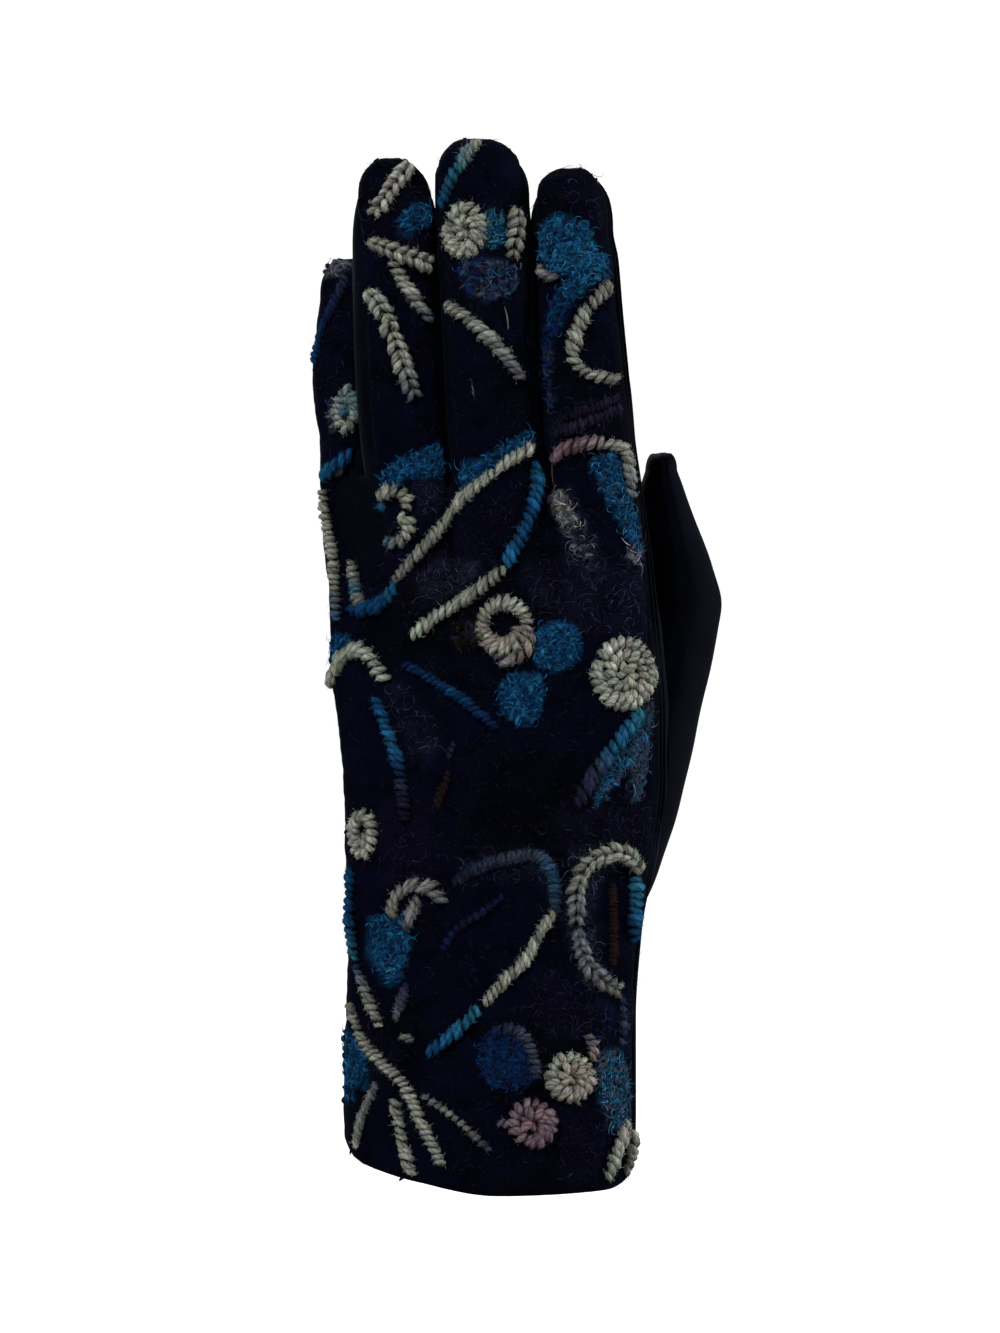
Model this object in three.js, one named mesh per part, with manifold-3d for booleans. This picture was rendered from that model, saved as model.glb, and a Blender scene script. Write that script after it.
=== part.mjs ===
// A lady's dress glove for the left hand, full and open as it is when a hand is in it.
// A thick wool panel covers the back of the hand and the backs of the four fingers.
// Thin black velour makes the palm, the thumb and the side strips between the fingers.
// Millimetres. +Z runs from the cuff to the fingertips, +X to the thumb side, +Y to the palm.
// The origin is the middle of the wrist opening, level with the lowest point of the hem.
import * as THREE from "three";
import Module from "manifold-3d";
import { mergeVertices } from "three/addons/utils/BufferGeometryUtils.js";

const wasm = await Module();
wasm.setup();

// Walls and seams
const WOOL = { proud: 1.0, depth: 1.2 };
const VELOUR = { proud: 0, depth: 1.1 };
const HALF_SEAM_GAP = 0.18;
const THUMB_GAP = 0.3;

// Heights where the glove changes form
const CROTCH_Z = 163.5;
const BLEND_START_Z = 112;
const GUSSET_POINT_Z = 139;
const WEB_RISE = 4;

// Section shape: 2 is an ellipse, more is squarer
const FINGER_SQUARENESS = 2.2;
const HAND_SQUARENESS = 2.4;
const THUMB_SQUARENESS = 2.15;

// Where the little-finger seam lies behind the side of the hand, in degrees from the thumb side
const LITTLE_SEAM_ANGLE = 196;

// The hand below the fingers. left and right are the section's ends, leftY and rightY how far
// they lie towards the palm, and back and palm the depths on each side of the line between them.
const HAND = [
  { z: 0, left: -32.6, right: 32.6, leftY: 0, rightY: 0, back: 18.4, palm: 18.0 },
  { z: 18, left: -33.6, right: 33.2, leftY: 0, rightY: 0, back: 18.6, palm: 18.4 },
  { z: 40, left: -33.2, right: 33.2, leftY: 0.2, rightY: 0, back: 17.4, palm: 18.0 },
  { z: 60, left: -32.8, right: 34.6, leftY: 1, rightY: 0.4, back: 16.0, palm: 17.6 },
  { z: 80, left: -33.3, right: 38.6, leftY: 2, rightY: 1.6, back: 14.8, palm: 17.4 },
  { z: 95, left: -33.8, right: 40.8, leftY: 3, rightY: 2.4, back: 14.2, palm: 16.8 },
  { z: 110, left: -35.2, right: 40.9, leftY: 4.5, rightY: 2.8, back: 13.8, palm: 15.8 },
  { z: 125, left: -37.6, right: 40.1, leftY: 7, rightY: 3, back: 13.6, palm: 13.8 },
  { z: 145, left: -38.0, right: 37.8, leftY: 11, rightY: 2.6, back: 14.0, palm: 10.4 },
  { z: 163.5, left: -39.4, right: 34.6, leftY: 14.5, rightY: 2, back: 14.6, palm: 7.4 },
];

// How far the wool stops short of the thumb-side edge of the hand
const THUMB_SEAM_INSET = [
  { z: 0, inset: 1.2 },
  { z: 50, inset: 1.4 },
  { z: 80, inset: 2.6 },
  { z: 110, inset: 3.4 },
  { z: 125, inset: 3.8 },
  { z: 140, inset: 3.0 },
  { z: 163.5, inset: 2.0 },
];

// Hem height round the cuff, by the angle from the thumb side through the back of the hand
const HEM = [
  { angle: 0, z: 5.5 },
  { angle: 35, z: 1.0 },
  { angle: 90, z: 0 },
  { angle: 130, z: 3.2 },
  { angle: 165, z: 7.5 },
  { angle: 190, z: 11.0 },
  { angle: 230, z: 8.5 },
  { angle: 300, z: 5.0 },
  { angle: 360, z: 5.5 },
];

// Each finger: rows up its shaft, the rounded cap above them, and where the wool ends.
// backRight and backLeft are the angles of the wool's edges, palmRight and palmLeft those of
// the palm velour. An angle runs from the thumb side (0) over the back (90) to the far side (180).
const FINGERS = {
  little: {
    capHeight: 9.4,
    tipShare: 0.24,
    tipShift: { x: -1.6, y: 0.6 },
    rows: [
      { z: 110, x: -27.6, halfWidth: 7.4, y: 8.5, halfDepth: 7.4 },
      { z: 163.5, x: -32.0, halfWidth: 7.4, y: 14.5, halfDepth: 7.4 },
      { z: 175, x: -32.1, halfWidth: 7.7, y: 15.9, halfDepth: 7.6 },
      { z: 186, x: -33.4, halfWidth: 7.8, y: 17.0, halfDepth: 7.7 },
      { z: 193.5, x: -33.7, halfWidth: 7.8, y: 17.8, halfDepth: 7.6 },
      { z: 201, x: -33.2, halfWidth: 7.5, y: 18.6, halfDepth: 7.3 },
      { z: 208, x: -33.4, halfWidth: 6.6, y: 19.4, halfDepth: 6.6 },
    ],
    edges: [
      { z: 110, backRight: 60, backLeft: 196, palmRight: -20, palmLeft: -164 },
      { z: 139, backRight: 72, backLeft: 196, palmRight: -18, palmLeft: -164 },
      { z: 148, backRight: 108, backLeft: 196, palmRight: -15, palmLeft: -164 },
      { z: 156, backRight: 140, backLeft: 196, palmRight: -15, palmLeft: -164 },
      { z: 163.5, backRight: 128, backLeft: 196, palmRight: -15, palmLeft: -164 },
      { z: 175, backRight: 84, backLeft: 196, palmRight: -24, palmLeft: -164 },
      { z: 190, backRight: 58, backLeft: 192, palmRight: -32, palmLeft: -168 },
      { z: 208, backRight: 44, backLeft: 186, palmRight: -34, palmLeft: -174 },
    ],
  },
  ring: {
    capHeight: 19.3,
    tipShare: 0.16,
    tipShift: { x: -0.7, y: 2.2 },
    rows: [
      { z: 110, x: -14.6, halfWidth: 9.8, y: 1.0, halfDepth: 8.8 },
      { z: 163.5, x: -19.3, halfWidth: 10.15, y: 1.5, halfDepth: 8.8 },
      { z: 175, x: -20.65, halfWidth: 10.2, y: 1.6, halfDepth: 8.9 },
      { z: 190, x: -21.75, halfWidth: 10.3, y: 1.8, halfDepth: 8.9 },
      { z: 205, x: -22.35, halfWidth: 10.2, y: 2.4, halfDepth: 8.8 },
      { z: 221, x: -22.95, halfWidth: 9.8, y: 3.6, halfDepth: 8.4 },
    ],
    edges: [
      { z: 110, backRight: 38, backLeft: 136, palmRight: -38, palmLeft: -112 },
      { z: 163.5, backRight: 36, backLeft: 131, palmRight: -36, palmLeft: -105 },
      { z: 180, backRight: 35, backLeft: 131, palmRight: -35, palmLeft: -124 },
      { z: 221, backRight: 35, backLeft: 129, palmRight: -35, palmLeft: -140 },
    ],
  },
  middle: {
    capHeight: 13,
    tipShare: 0.2,
    tipShift: { x: -0.9, y: 1.4 },
    rows: [
      { z: 110, x: 3.6, halfWidth: 10.0, y: 0.4, halfDepth: 9.4 },
      { z: 163.5, x: 1.9, halfWidth: 10.65, y: 0, halfDepth: 9.4 },
      { z: 175, x: 0.6, halfWidth: 10.65, y: -0.2, halfDepth: 9.4 },
      { z: 190, x: -0.45, halfWidth: 10.6, y: -0.2, halfDepth: 9.3 },
      { z: 205, x: -1.05, halfWidth: 10.7, y: 0.4, halfDepth: 9.2 },
      { z: 217, x: -1.5, halfWidth: 10.9, y: 1.4, halfDepth: 9.0 },
      { z: 231.6, x: -2.9, halfWidth: 10.8, y: 3.0, halfDepth: 8.6 },
    ],
    edges: [
      { z: 110, backRight: 38, backLeft: 142, palmRight: -38, palmLeft: -142 },
      { z: 163.5, backRight: 36, backLeft: 144, palmRight: -36, palmLeft: -144 },
      { z: 231.6, backRight: 36, backLeft: 146, palmRight: -36, palmLeft: -144 },
    ],
  },
  index: {
    capHeight: 14,
    tipShare: 0.2,
    tipShift: { x: -0.9, y: 1.6 },
    rows: [
      { z: 110, x: 27.4, halfWidth: 12.6, y: 2.2, halfDepth: 9.2 },
      { z: 145, x: 25.5, halfWidth: 12.1, y: 2.1, halfDepth: 9.2 },
      { z: 155, x: 24.6, halfWidth: 11.6, y: 2.0, halfDepth: 9.2 },
      { z: 163.5, x: 23.9, halfWidth: 10.95, y: 2.0, halfDepth: 9.2 },
      { z: 175, x: 22.45, halfWidth: 10.8, y: 2.0, halfDepth: 9.1 },
      { z: 190, x: 21.2, halfWidth: 10.65, y: 2.0, halfDepth: 9.0 },
      { z: 205, x: 20.25, halfWidth: 10.2, y: 2.6, halfDepth: 8.8 },
      { z: 217, x: 19.65, halfWidth: 9.8, y: 3.4, halfDepth: 8.5 },
      { z: 224, x: 18.9, halfWidth: 9.3, y: 4.2, halfDepth: 8.2 },
    ],
    edges: [
      { z: 110, backRight: 40, backLeft: 142, palmRight: 40, palmLeft: -142 },
      { z: 145, backRight: 43, backLeft: 143, palmRight: 43, palmLeft: -143 },
      { z: 163.5, backRight: 41, backLeft: 144, palmRight: 41, palmLeft: -144 },
      { z: 224, backRight: 45, backLeft: 146, palmRight: 45, palmLeft: -144 },
    ],
  },
};
const FINGER_NAMES = ["little", "ring", "middle", "index"];

// The thumb's sections, from inside the hand to its tapered end
const THUMB = {
  capHeight: 8.4,
  tipShare: 0.4,
  rows: [
    { z: 48, x: 16, halfWidth: 8.0, y: 3, halfDepth: 7.0 },
    { z: 60, x: 21.5, halfWidth: 10.4, y: 6.4, halfDepth: 9.2 },
    { z: 75, x: 27.2, halfWidth: 12.3, y: 10.4, halfDepth: 11.2 },
    { z: 95, x: 32.8, halfWidth: 12.5, y: 14.6, halfDepth: 11.8 },
    { z: 116, x: 38.2, halfWidth: 12.0, y: 18.4, halfDepth: 11.2 },
    { z: 131, x: 41.9, halfWidth: 11.5, y: 20.6, halfDepth: 10.6 },
    { z: 138, x: 43.2, halfWidth: 10.9, y: 21.2, halfDepth: 10.0 },
    { z: 145, x: 42.6, halfWidth: 9.5, y: 21.6, halfDepth: 9.4 },
    { z: 152, x: 41.7, halfWidth: 7.9, y: 22.0, halfDepth: 8.6 },
    { z: 158.5, x: 41.0, halfWidth: 6.3, y: 22.2, halfDepth: 7.6 },
    { z: 164, x: 40.05, halfWidth: 5.15, y: 22.4, halfDepth: 6.4 },
  ],
};

// Mesh fineness
const HAND_HEIGHT_STEPS = 17;
const SHAFT_STEPS = 7;
const CAP_STEPS = 4;
const STRIP_CELLS = 4;
const SLOT_CELLS = 2;
const BACK_CELLS = { little: 5, ring: 6, middle: 6, index: 6 };
const PALM_CELLS = { little: 6, ring: 5, middle: 5, index: 8 };
const THUMB_SIDES = 20;
const THUMB_STEPS = 16;
const THUMB_CAP_STEPS = 4;
// How far up the cap a side strip runs, and where it starts to taper: 1 is the cap's base, 2 its top
const STRIP_TAPER_START = 0.86;
const STRIP_END = 1.5;

const radians = THREE.MathUtils.degToRad;
const lerp = THREE.MathUtils.lerp;
const clamp = THREE.MathUtils.clamp;

// Reads every column of a table at one place between its rows, by a cubic with no overshoot.
function rowAt(table, at, key = "z") {
  const last = table.length - 1;
  const place = clamp(at, table[0][key], table[last][key]);
  let i = 0;
  while (i < last - 1 && place > table[i + 1][key]) i += 1;
  const span = table[i + 1][key] - table[i][key];
  const t = (place - table[i][key]) / span;
  const read = {};
  for (const name of Object.keys(table[0])) {
    const slope = (j) => {
      if (j <= 0 || j >= last) return 0;
      const before = (table[j][name] - table[j - 1][name]) / (table[j][key] - table[j - 1][key]);
      const after = (table[j + 1][name] - table[j][name]) / (table[j + 1][key] - table[j][key]);
      return before * after <= 0 ? 0 : (2 * before * after) / (before + after);
    };
    const t2 = t * t;
    const t3 = t2 * t;
    read[name] =
      table[i][name] * (2 * t3 - 3 * t2 + 1) +
      table[i + 1][name] * (3 * t2 - 2 * t3) +
      slope(i) * span * (t3 - 2 * t2 + t) +
      slope(i + 1) * span * (t3 - t2);
  }
  return read;
}

// Cosine and sine of an angle in degrees, pushed out towards a square.
function squareTrig(degrees, squareness) {
  const push = (v) => Math.sign(v) * Math.abs(v) ** (2 / squareness);
  return { across: push(Math.cos(radians(degrees))), out: push(Math.sin(radians(degrees))) };
}

// A tube's rise is 0 at its lowest stated height, 1 where its cap starts and 2 at its tip.
function heightAt(tube, rise, baseZ) {
  const capZ = tube.rows[tube.rows.length - 1].z;
  if (rise <= 1) return lerp(baseZ, capZ, rise);
  return capZ + tube.capHeight * Math.sin(((rise - 1) * Math.PI) / 2);
}

function riseAt(tube, z, baseZ) {
  return (z - baseZ) / (tube.rows[tube.rows.length - 1].z - baseZ);
}

// A point on a finger or the thumb, by its angle in degrees and its rise.
function tubePoint(tube, degrees, rise, baseZ, squareness, inset = 0) {
  const row = rowAt(tube.rows, heightAt(tube, Math.min(rise, 1), baseZ));
  const turn = (clamp(rise - 1, 0, 1) * Math.PI) / 2;
  const shrink = Math.cos(turn);
  const { across, out } = squareTrig(degrees, squareness);
  const halfWidth = (row.halfWidth - inset) * (tube.tipShare + (1 - tube.tipShare) * shrink);
  const halfDepth = (row.halfDepth - inset) * shrink;
  const shift = tube.tipShift ?? { x: 0, y: 0 };
  const height = heightAt(tube, rise, baseZ) - (rise > 1 ? inset * Math.sin(turn) : 0);
  return new THREE.Vector3(
    row.x + shift.x * (1 - shrink) + halfWidth * across,
    row.y + shift.y * (1 - shrink) - halfDepth * out,
    height,
  );
}

function fingerPoint(name, degrees, rise) {
  return tubePoint(FINGERS[name], degrees, rise, CROTCH_Z, FINGER_SQUARENESS);
}

function fingerNormal(name, degrees, rise) {
  if (rise > 1.999) return new THREE.Vector3(0, 0, 1);
  const step = 0.01;
  const along = fingerPoint(name, degrees, rise + step).sub(fingerPoint(name, degrees, rise - step));
  const round = fingerPoint(name, degrees + 1, rise).sub(fingerPoint(name, degrees - 1, rise));
  return along.cross(round).normalize();
}

// The angle of one edge of the wool or the palm velour on a finger. Above the side strips the two
// close on each other at the finger's side, but not where the strip is missing.
function edgeAngle(name, edge, rise) {
  const finger = FINGERS[name];
  const angle = rowAt(finger.edges, heightAt(finger, Math.min(rise, 1), CROTCH_Z))[edge];
  const side = { backRight: 0, backLeft: 180, palmRight: 0, palmLeft: -180 }[edge];
  const taper = clamp((rise - STRIP_TAPER_START) / (STRIP_END - STRIP_TAPER_START), 0, 1);
  const freeSide = (name === "little" && edge.endsWith("Left")) || (name === "index" && edge.endsWith("Right"));
  const close = freeSide ? clamp(rise - 1, 0, 1) ** 2 : taper ** 1.6;
  return lerp(angle, side, close);
}

// A closed section of the hand at one height, by the share of its length along one side.
function handOutline(z, fromDegrees, toDegrees) {
  const row = rowAt(HAND, z);
  const middle = (row.left + row.right) / 2;
  const half = (row.right - row.left) / 2;
  const pointAt = (degrees) => {
    const { across, out } = squareTrig(degrees, HAND_SQUARENESS);
    const lineY = lerp(row.rightY, row.leftY, (1 - across) / 2);
    return new THREE.Vector3(middle + half * across, lineY - (out > 0 ? row.back : row.palm) * out, z);
  };
  const samples = 72;
  const points = [];
  const lengths = [0];
  for (let i = 0; i <= samples; i += 1) {
    points.push(pointAt(lerp(fromDegrees, toDegrees, i / samples)));
    if (i > 0) lengths.push(lengths[i - 1] + points[i].distanceTo(points[i - 1]));
  }
  return (share) => {
    const wanted = share * lengths[samples];
    let i = 1;
    while (i < samples && lengths[i] < wanted) i += 1;
    const t = (wanted - lengths[i - 1]) / (lengths[i] - lengths[i - 1]);
    return points[i - 1].clone().lerp(points[i], clamp(t, 0, 1));
  };
}

// The angle on the hand's section where the wool meets the velour on the thumb side.
function thumbSeamAngle(z) {
  const row = rowAt(HAND, z);
  const share = 1 - rowAt(THUMB_SEAM_INSET, z).inset / ((row.right - row.left) / 2);
  return THREE.MathUtils.radToDeg(Math.acos(share ** (HAND_SQUARENESS / 2)));
}

// The hand's columns, from the little-finger seam over the back to the thumb-side seam.
// Each says which finger it runs up, and at what share of that finger's arc.
function columnsOf(cells, order) {
  const columns = [];
  for (const [place, name] of order.entries()) {
    for (let i = 0; i <= cells[name]; i += 1) columns.push({ name, share: i / cells[name] });
    const next = order[place + 1];
    for (let i = 1; next && i < SLOT_CELLS; i += 1) {
      columns.push({ name, next, share: i / SLOT_CELLS });
    }
  }
  return columns;
}

const backColumns = columnsOf(BACK_CELLS, FINGER_NAMES);
const palmColumns = columnsOf(PALM_CELLS, [...FINGER_NAMES].reverse());

// Where a column would be if the fingers ran on down into the hand.
function fingerColumnPoint(side, column, z) {
  const [start, end] = side === "back" ? ["backLeft", "backRight"] : ["palmRight", "palmLeft"];
  const pointOn = (name, share) => {
    const rise = riseAt(FINGERS[name], z, CROTCH_Z);
    const degrees = lerp(edgeAngle(name, start, rise), edgeAngle(name, end, rise), share);
    return fingerPoint(name, degrees, rise);
  };
  if (!column.next) return pointOn(column.name, column.share);
  return pointOn(column.name, 1).lerp(pointOn(column.next, 0), column.share);
}

// Each column's share of the length of its side, measured where the fingers part.
function columnShares(side, columns) {
  const lengths = [0];
  for (let i = 1; i < columns.length; i += 1) {
    const before = fingerColumnPoint(side, columns[i - 1], CROTCH_Z);
    lengths.push(lengths[i - 1] + before.distanceTo(fingerColumnPoint(side, columns[i], CROTCH_Z)));
  }
  return lengths.map((length) => length / lengths[lengths.length - 1]);
}

const shares = { back: columnShares("back", backColumns), palm: columnShares("palm", palmColumns) };

function hemHeight(side, share) {
  const seam = thumbSeamAngle(0);
  const degrees =
    side === "back" ? lerp(LITTLE_SEAM_ANGLE, seam, share) : lerp(seam + 360, LITTLE_SEAM_ANGLE, share);
  return rowAt(HEM, degrees > 360 ? degrees - 360 : degrees, "angle").z;
}

// One column of one side, as points from the hem up to where the fingers part.
function handPoint(side, columns, index, up) {
  const share = shares[side][index];
  const z = lerp(hemHeight(side, share), CROTCH_Z, up);
  const seam = thumbSeamAngle(z);
  const outline =
    side === "back"
      ? handOutline(z, LITTLE_SEAM_ANGLE, seam)
      : handOutline(z, seam, LITTLE_SEAM_ANGLE - 360);
  const blend = THREE.MathUtils.smoothstep(z, BLEND_START_Z, CROTCH_Z);
  return outline(share).lerp(fingerColumnPoint(side, columns[index], z), blend);
}

// Heights of the hand's rows: one lies at the gusset's point, and they crowd where the form changes.
function handRowShares() {
  const list = [];
  for (let i = 0; i <= HAND_HEIGHT_STEPS; i += 1) list.push((i / HAND_HEIGHT_STEPS) ** 0.9);
  const wanted = GUSSET_POINT_Z / CROTCH_Z;
  const nearest = list.reduce((best, v, i) => (Math.abs(v - wanted) < Math.abs(list[best] - wanted) ? i : best), 0);
  list[nearest] = wanted;
  return { list, gussetRow: nearest };
}

const { list: handRows, gussetRow } = handRowShares();

// The whole hand as a closed ring of columns: the back's, then the palm's without the shared seams.
function handRing() {
  const ring = [
    ...backColumns.map((_, index) => ({ side: "back", columns: backColumns, index })),
    ...palmColumns.map((_, index) => ({ side: "palm", columns: palmColumns, index })).slice(1, -1),
  ];
  const points = handRows.map((up) => ring.map((c) => handPoint(c.side, c.columns, c.index, up)));
  const normals = points.map((row, j) =>
    row.map((_, i) => {
      const count = row.length;
      const round = row[(i + 1) % count].clone().sub(row[(i + count - 1) % count]);
      const top = Math.min(j + 1, points.length - 1);
      const along = points[top][i].clone().sub(points[Math.max(j - 1, 0)][i]);
      return round.cross(along).normalize();
    }),
  );
  return { points, normals, count: ring.length };
}

const hand = handRing();
const topRow = handRows.length - 1;

function ringIndex(side, index) {
  return side === "back" ? index : (backColumns.length - 1 + index) % hand.count;
}

// A sheet of cloth as shared points with normals, and faces of three or four of them.
class Sheet {
  constructor() {
    this.points = [];
    this.normals = [];
    this.faces = [];
    this.byKey = new Map();
  }

  add(key, point, normal) {
    if (!this.byKey.has(key)) {
      this.byKey.set(key, this.points.length);
      this.points.push(point.clone());
      this.normals.push(normal.clone());
    }
    return this.byKey.get(key);
  }

  // Adds the faces between rows of point numbers. Equal neighbours make triangles.
  grid(rows) {
    for (let j = 1; j < rows.length; j += 1) {
      for (let i = 1; i < rows[j].length; i += 1) {
        const corners = [rows[j - 1][i - 1], rows[j - 1][i], rows[j][i], rows[j][i - 1]];
        const face = corners.filter((c, k) => c !== corners[(k + 3) % 4]);
        if (face.length > 2) this.faces.push(face);
      }
    }
  }

  // Edges that only one face has, in that face's direction.
  border() {
    const edges = new Map();
    for (const face of this.faces) {
      face.forEach((from, k) => {
        const to = face[(k + 1) % face.length];
        if (!edges.delete(`${to}:${from}`)) edges.set(`${from}:${to}`, [from, to]);
      });
    }
    return [...edges.values()];
  }

  // Draws the border in along the sheet, so that a neighbour on the same seam stays clear.
  drawIn(distance) {
    const inward = new Map();
    for (const [from, to] of this.border()) {
      const along = this.points[to].clone().sub(this.points[from]).normalize();
      for (const v of [from, to]) {
        const side = this.normals[v].clone().cross(along).normalize();
        inward.set(v, [...(inward.get(v) ?? []), side]);
      }
    }
    for (const [v, sides] of inward) {
      const sum = sides.reduce((total, side) => total.add(side), new THREE.Vector3());
      const spread = Math.max(1 + sides[0].dot(sides[1]), 0.35);
      this.points[v].addScaledVector(sum, distance / spread);
    }
    return this;
  }

  // The closed solid between the sheet's outer and inner faces.
  thicken({ proud, depth }) {
    const count = this.points.length;
    const position = [];
    for (const offset of [proud, -depth]) {
      this.points.forEach((point, v) => {
        position.push(...point.clone().addScaledVector(this.normals[v], offset).toArray());
      });
    }
    const index = [];
    const addFace = (face) => {
      for (let k = 2; k < face.length; k += 1) index.push(face[0], face[k - 1], face[k]);
    };
    for (const face of this.faces) {
      addFace(face);
      addFace(face.map((v) => v + count).reverse());
    }
    for (const [from, to] of this.border()) addFace([to, from, from + count, to + count]);
    const geometry = new THREE.BufferGeometry();
    geometry.setAttribute("position", new THREE.Float32BufferAttribute(position, 3));
    geometry.setIndex(index);
    return geometry;
  }
}

function handVertex(sheet, side, index, row) {
  const i = ringIndex(side, index);
  if (row < topRow) return sheet.add(`hand:${row}:${i}`, hand.points[row][i], hand.normals[row][i]);
  const columns = side === "back" ? backColumns : palmColumns;
  const column = columns[index];
  const normal = column.next ? hand.normals[row][i] : fingerColumnNormal(side, column, 0);
  return sheet.add(`hand:${row}:${i}`, hand.points[row][i], normal);
}

function fingerColumnAngle(side, column, rise) {
  const [start, end] = side === "back" ? ["backLeft", "backRight"] : ["palmRight", "palmLeft"];
  return lerp(edgeAngle(column.name, start, rise), edgeAngle(column.name, end, rise), column.share);
}

function fingerColumnNormal(side, column, rise) {
  return fingerNormal(column.name, fingerColumnAngle(side, column, rise), rise);
}

// The rises of a finger's rows above where the fingers part.
function fingerRises() {
  const rises = [];
  for (let i = 1; i <= SHAFT_STEPS; i += 1) rises.push(i / SHAFT_STEPS);
  for (let i = 1; i <= CAP_STEPS; i += 1) rises.push(1 + i / CAP_STEPS);
  return rises;
}

// The wool's triangle on one side of the gusset's lower point, where the slot narrows to nothing.
function besideGussetPoint(sheet, cell) {
  const first = BACK_CELLS.little;
  const low = [first + cell, first + cell + 1].map((index) => handVertex(sheet, "back", index, gussetRow));
  const high = handVertex(sheet, "back", first + (cell === 0 ? 0 : SLOT_CELLS), gussetRow + 1);
  return [...low, high];
}

// The cloth on one side of the hand and up all four fingers. The back leaves the gusset's slot open.
function panelSheet(side) {
  const columns = side === "back" ? backColumns : palmColumns;
  const sheet = new Sheet();
  const turned = (rows) => sheet.grid(rows);
  const isGusset = (i) => side === "back" && i > BACK_CELLS.little && i <= BACK_CELLS.little + SLOT_CELLS;
  for (let i = 1; i < columns.length; i += 1) {
    const last = isGusset(i) ? gussetRow : topRow;
    const rows = [];
    for (let j = 0; j <= last; j += 1) {
      rows.push([handVertex(sheet, side, i - 1, j), handVertex(sheet, side, i, j)]);
    }
    turned(rows);
    if (isGusset(i)) sheet.faces.push(besideGussetPoint(sheet, i - BACK_CELLS.little - 1));
  }
  for (const name of FINGER_NAMES) {
    const own = columns.map((column, index) => ({ column, index })).filter((c) => c.column.name === name && !c.column.next);
    const rows = [own.map((c) => handVertex(sheet, side, c.index, topRow))];
    for (const rise of fingerRises()) {
      rows.push(
        own.map(({ column, index }) => {
          const degrees = fingerColumnAngle(side, column, rise);
          const key = `${name}:${rise.toFixed(3)}:${index}`;
          return sheet.add(key, fingerPoint(name, degrees, rise), fingerNormal(name, degrees, rise));
        }),
      );
    }
    turned(rows);
  }
  return sheet;
}

// One run of a side strip up a finger, from its web to its pointed end, as rows of point numbers.
function stripRun(sheet, name, isRightSide) {
  const [backEdge, palmEdge] = isRightSide ? ["backRight", "palmRight"] : ["backLeft", "palmLeft"];
  const turn = isRightSide ? 0 : 360;
  const rows = [];
  const rises = [0, ...fingerRises().filter((rise) => rise <= STRIP_END)];
  for (const [j, full] of rises.entries()) {
    const row = [];
    for (let i = 0; i <= STRIP_CELLS; i += 1) {
      const across = i / STRIP_CELLS;
      const lift = (WEB_RISE + 0.6) * Math.sin(across * Math.PI);
      const start = riseAt(FINGERS[name], CROTCH_Z + lift, CROTCH_Z);
      const rise = lerp(start, STRIP_END, full / STRIP_END);
      const degrees = lerp(edgeAngle(name, backEdge, rise), edgeAngle(name, palmEdge, rise) + turn, across);
      const key = full === STRIP_END ? `${name}:point` : `${name}:${j}:${i}`;
      row.push(sheet.add(key, fingerPoint(name, degrees, rise), fingerNormal(name, degrees, rise)));
    }
    rows.push(row);
  }
  return rows;
}

// The strip between two fingers: up the side of each, joined by the web between them.
function stripSheet(leftName, rightName) {
  const sheet = new Sheet();
  const leftRun = stripRun(sheet, leftName, true);
  const rightRun = stripRun(sheet, rightName, false);
  const left = leftRun[0].map((v) => sheet.points[v]);
  const right = rightRun[0].map((v) => sheet.points[v]);
  const web = [leftRun[0]];
  for (let k = 1; k < SLOT_CELLS; k += 1) {
    web.push(
      left.map((from, i) => {
        const point = from.clone().lerp(right[i], k / SLOT_CELLS);
        const across = i / STRIP_CELLS;
        point.z = CROTCH_Z + WEB_RISE * Math.sin(across * Math.PI);
        const outwards = new THREE.Vector3(0, -Math.cos(across * Math.PI), Math.sin(across * Math.PI));
        return sheet.add(`web:${k}:${i}`, point, outwards);
      }),
    );
  }
  web.push(rightRun[0]);
  sheet.grid(leftRun);
  sheet.grid(web.reverse());
  sheet.grid(rightRun.reverse());
  return sheet;
}

// The black tongue that fills the wool's notch below the little and ring fingers.
function addGusset(sheet) {
  const first = BACK_CELLS.little;
  const point = handVertex(sheet, "back", first + 1, gussetRow);
  const rows = [[point, point, point]];
  for (let j = gussetRow + 1; j < topRow; j += 1) {
    const row = [];
    for (let k = 0; k <= SLOT_CELLS; k += 1) row.push(handVertex(sheet, "back", first + k, j));
    rows.push(row);
  }
  const top = ["little:0:0"];
  for (let k = 1; k < SLOT_CELLS; k += 1) top.push(`web:${k}:0`);
  top.push("ring:0:0");
  rows.push(top.map((key) => sheet.byKey.get(key)));
  sheet.grid(rows);
  return sheet;
}

// A closed solid through rings of points, with a fan of faces over each end.
function ringSolid(rings) {
  const count = rings[0].length;
  const position = rings.flatMap((ring) => ring.flatMap((point) => point.toArray()));
  const index = [];
  for (let j = 1; j < rings.length; j += 1) {
    for (let i = 0; i < count; i += 1) {
      const next = (i + 1) % count;
      const low = (j - 1) * count;
      const high = j * count;
      index.push(low + i, low + next, high + next, low + i, high + next, high + i);
    }
  }
  const top = (rings.length - 1) * count;
  for (let i = 2; i < count; i += 1) {
    index.push(0, i, i - 1);
    index.push(top, top + i - 1, top + i);
  }
  const geometry = new THREE.BufferGeometry();
  geometry.setAttribute("position", new THREE.Float32BufferAttribute(position, 3));
  geometry.setIndex(index);
  return geometry;
}

function toSolid(geometry) {
  const merged = mergeVertices(geometry, 1e-4);
  const mesh = new wasm.Mesh({
    numProp: 3,
    vertProperties: new Float32Array(merged.attributes.position.array),
    triVerts: new Uint32Array(merged.index.array),
  });
  return new wasm.Manifold(mesh);
}

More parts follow.
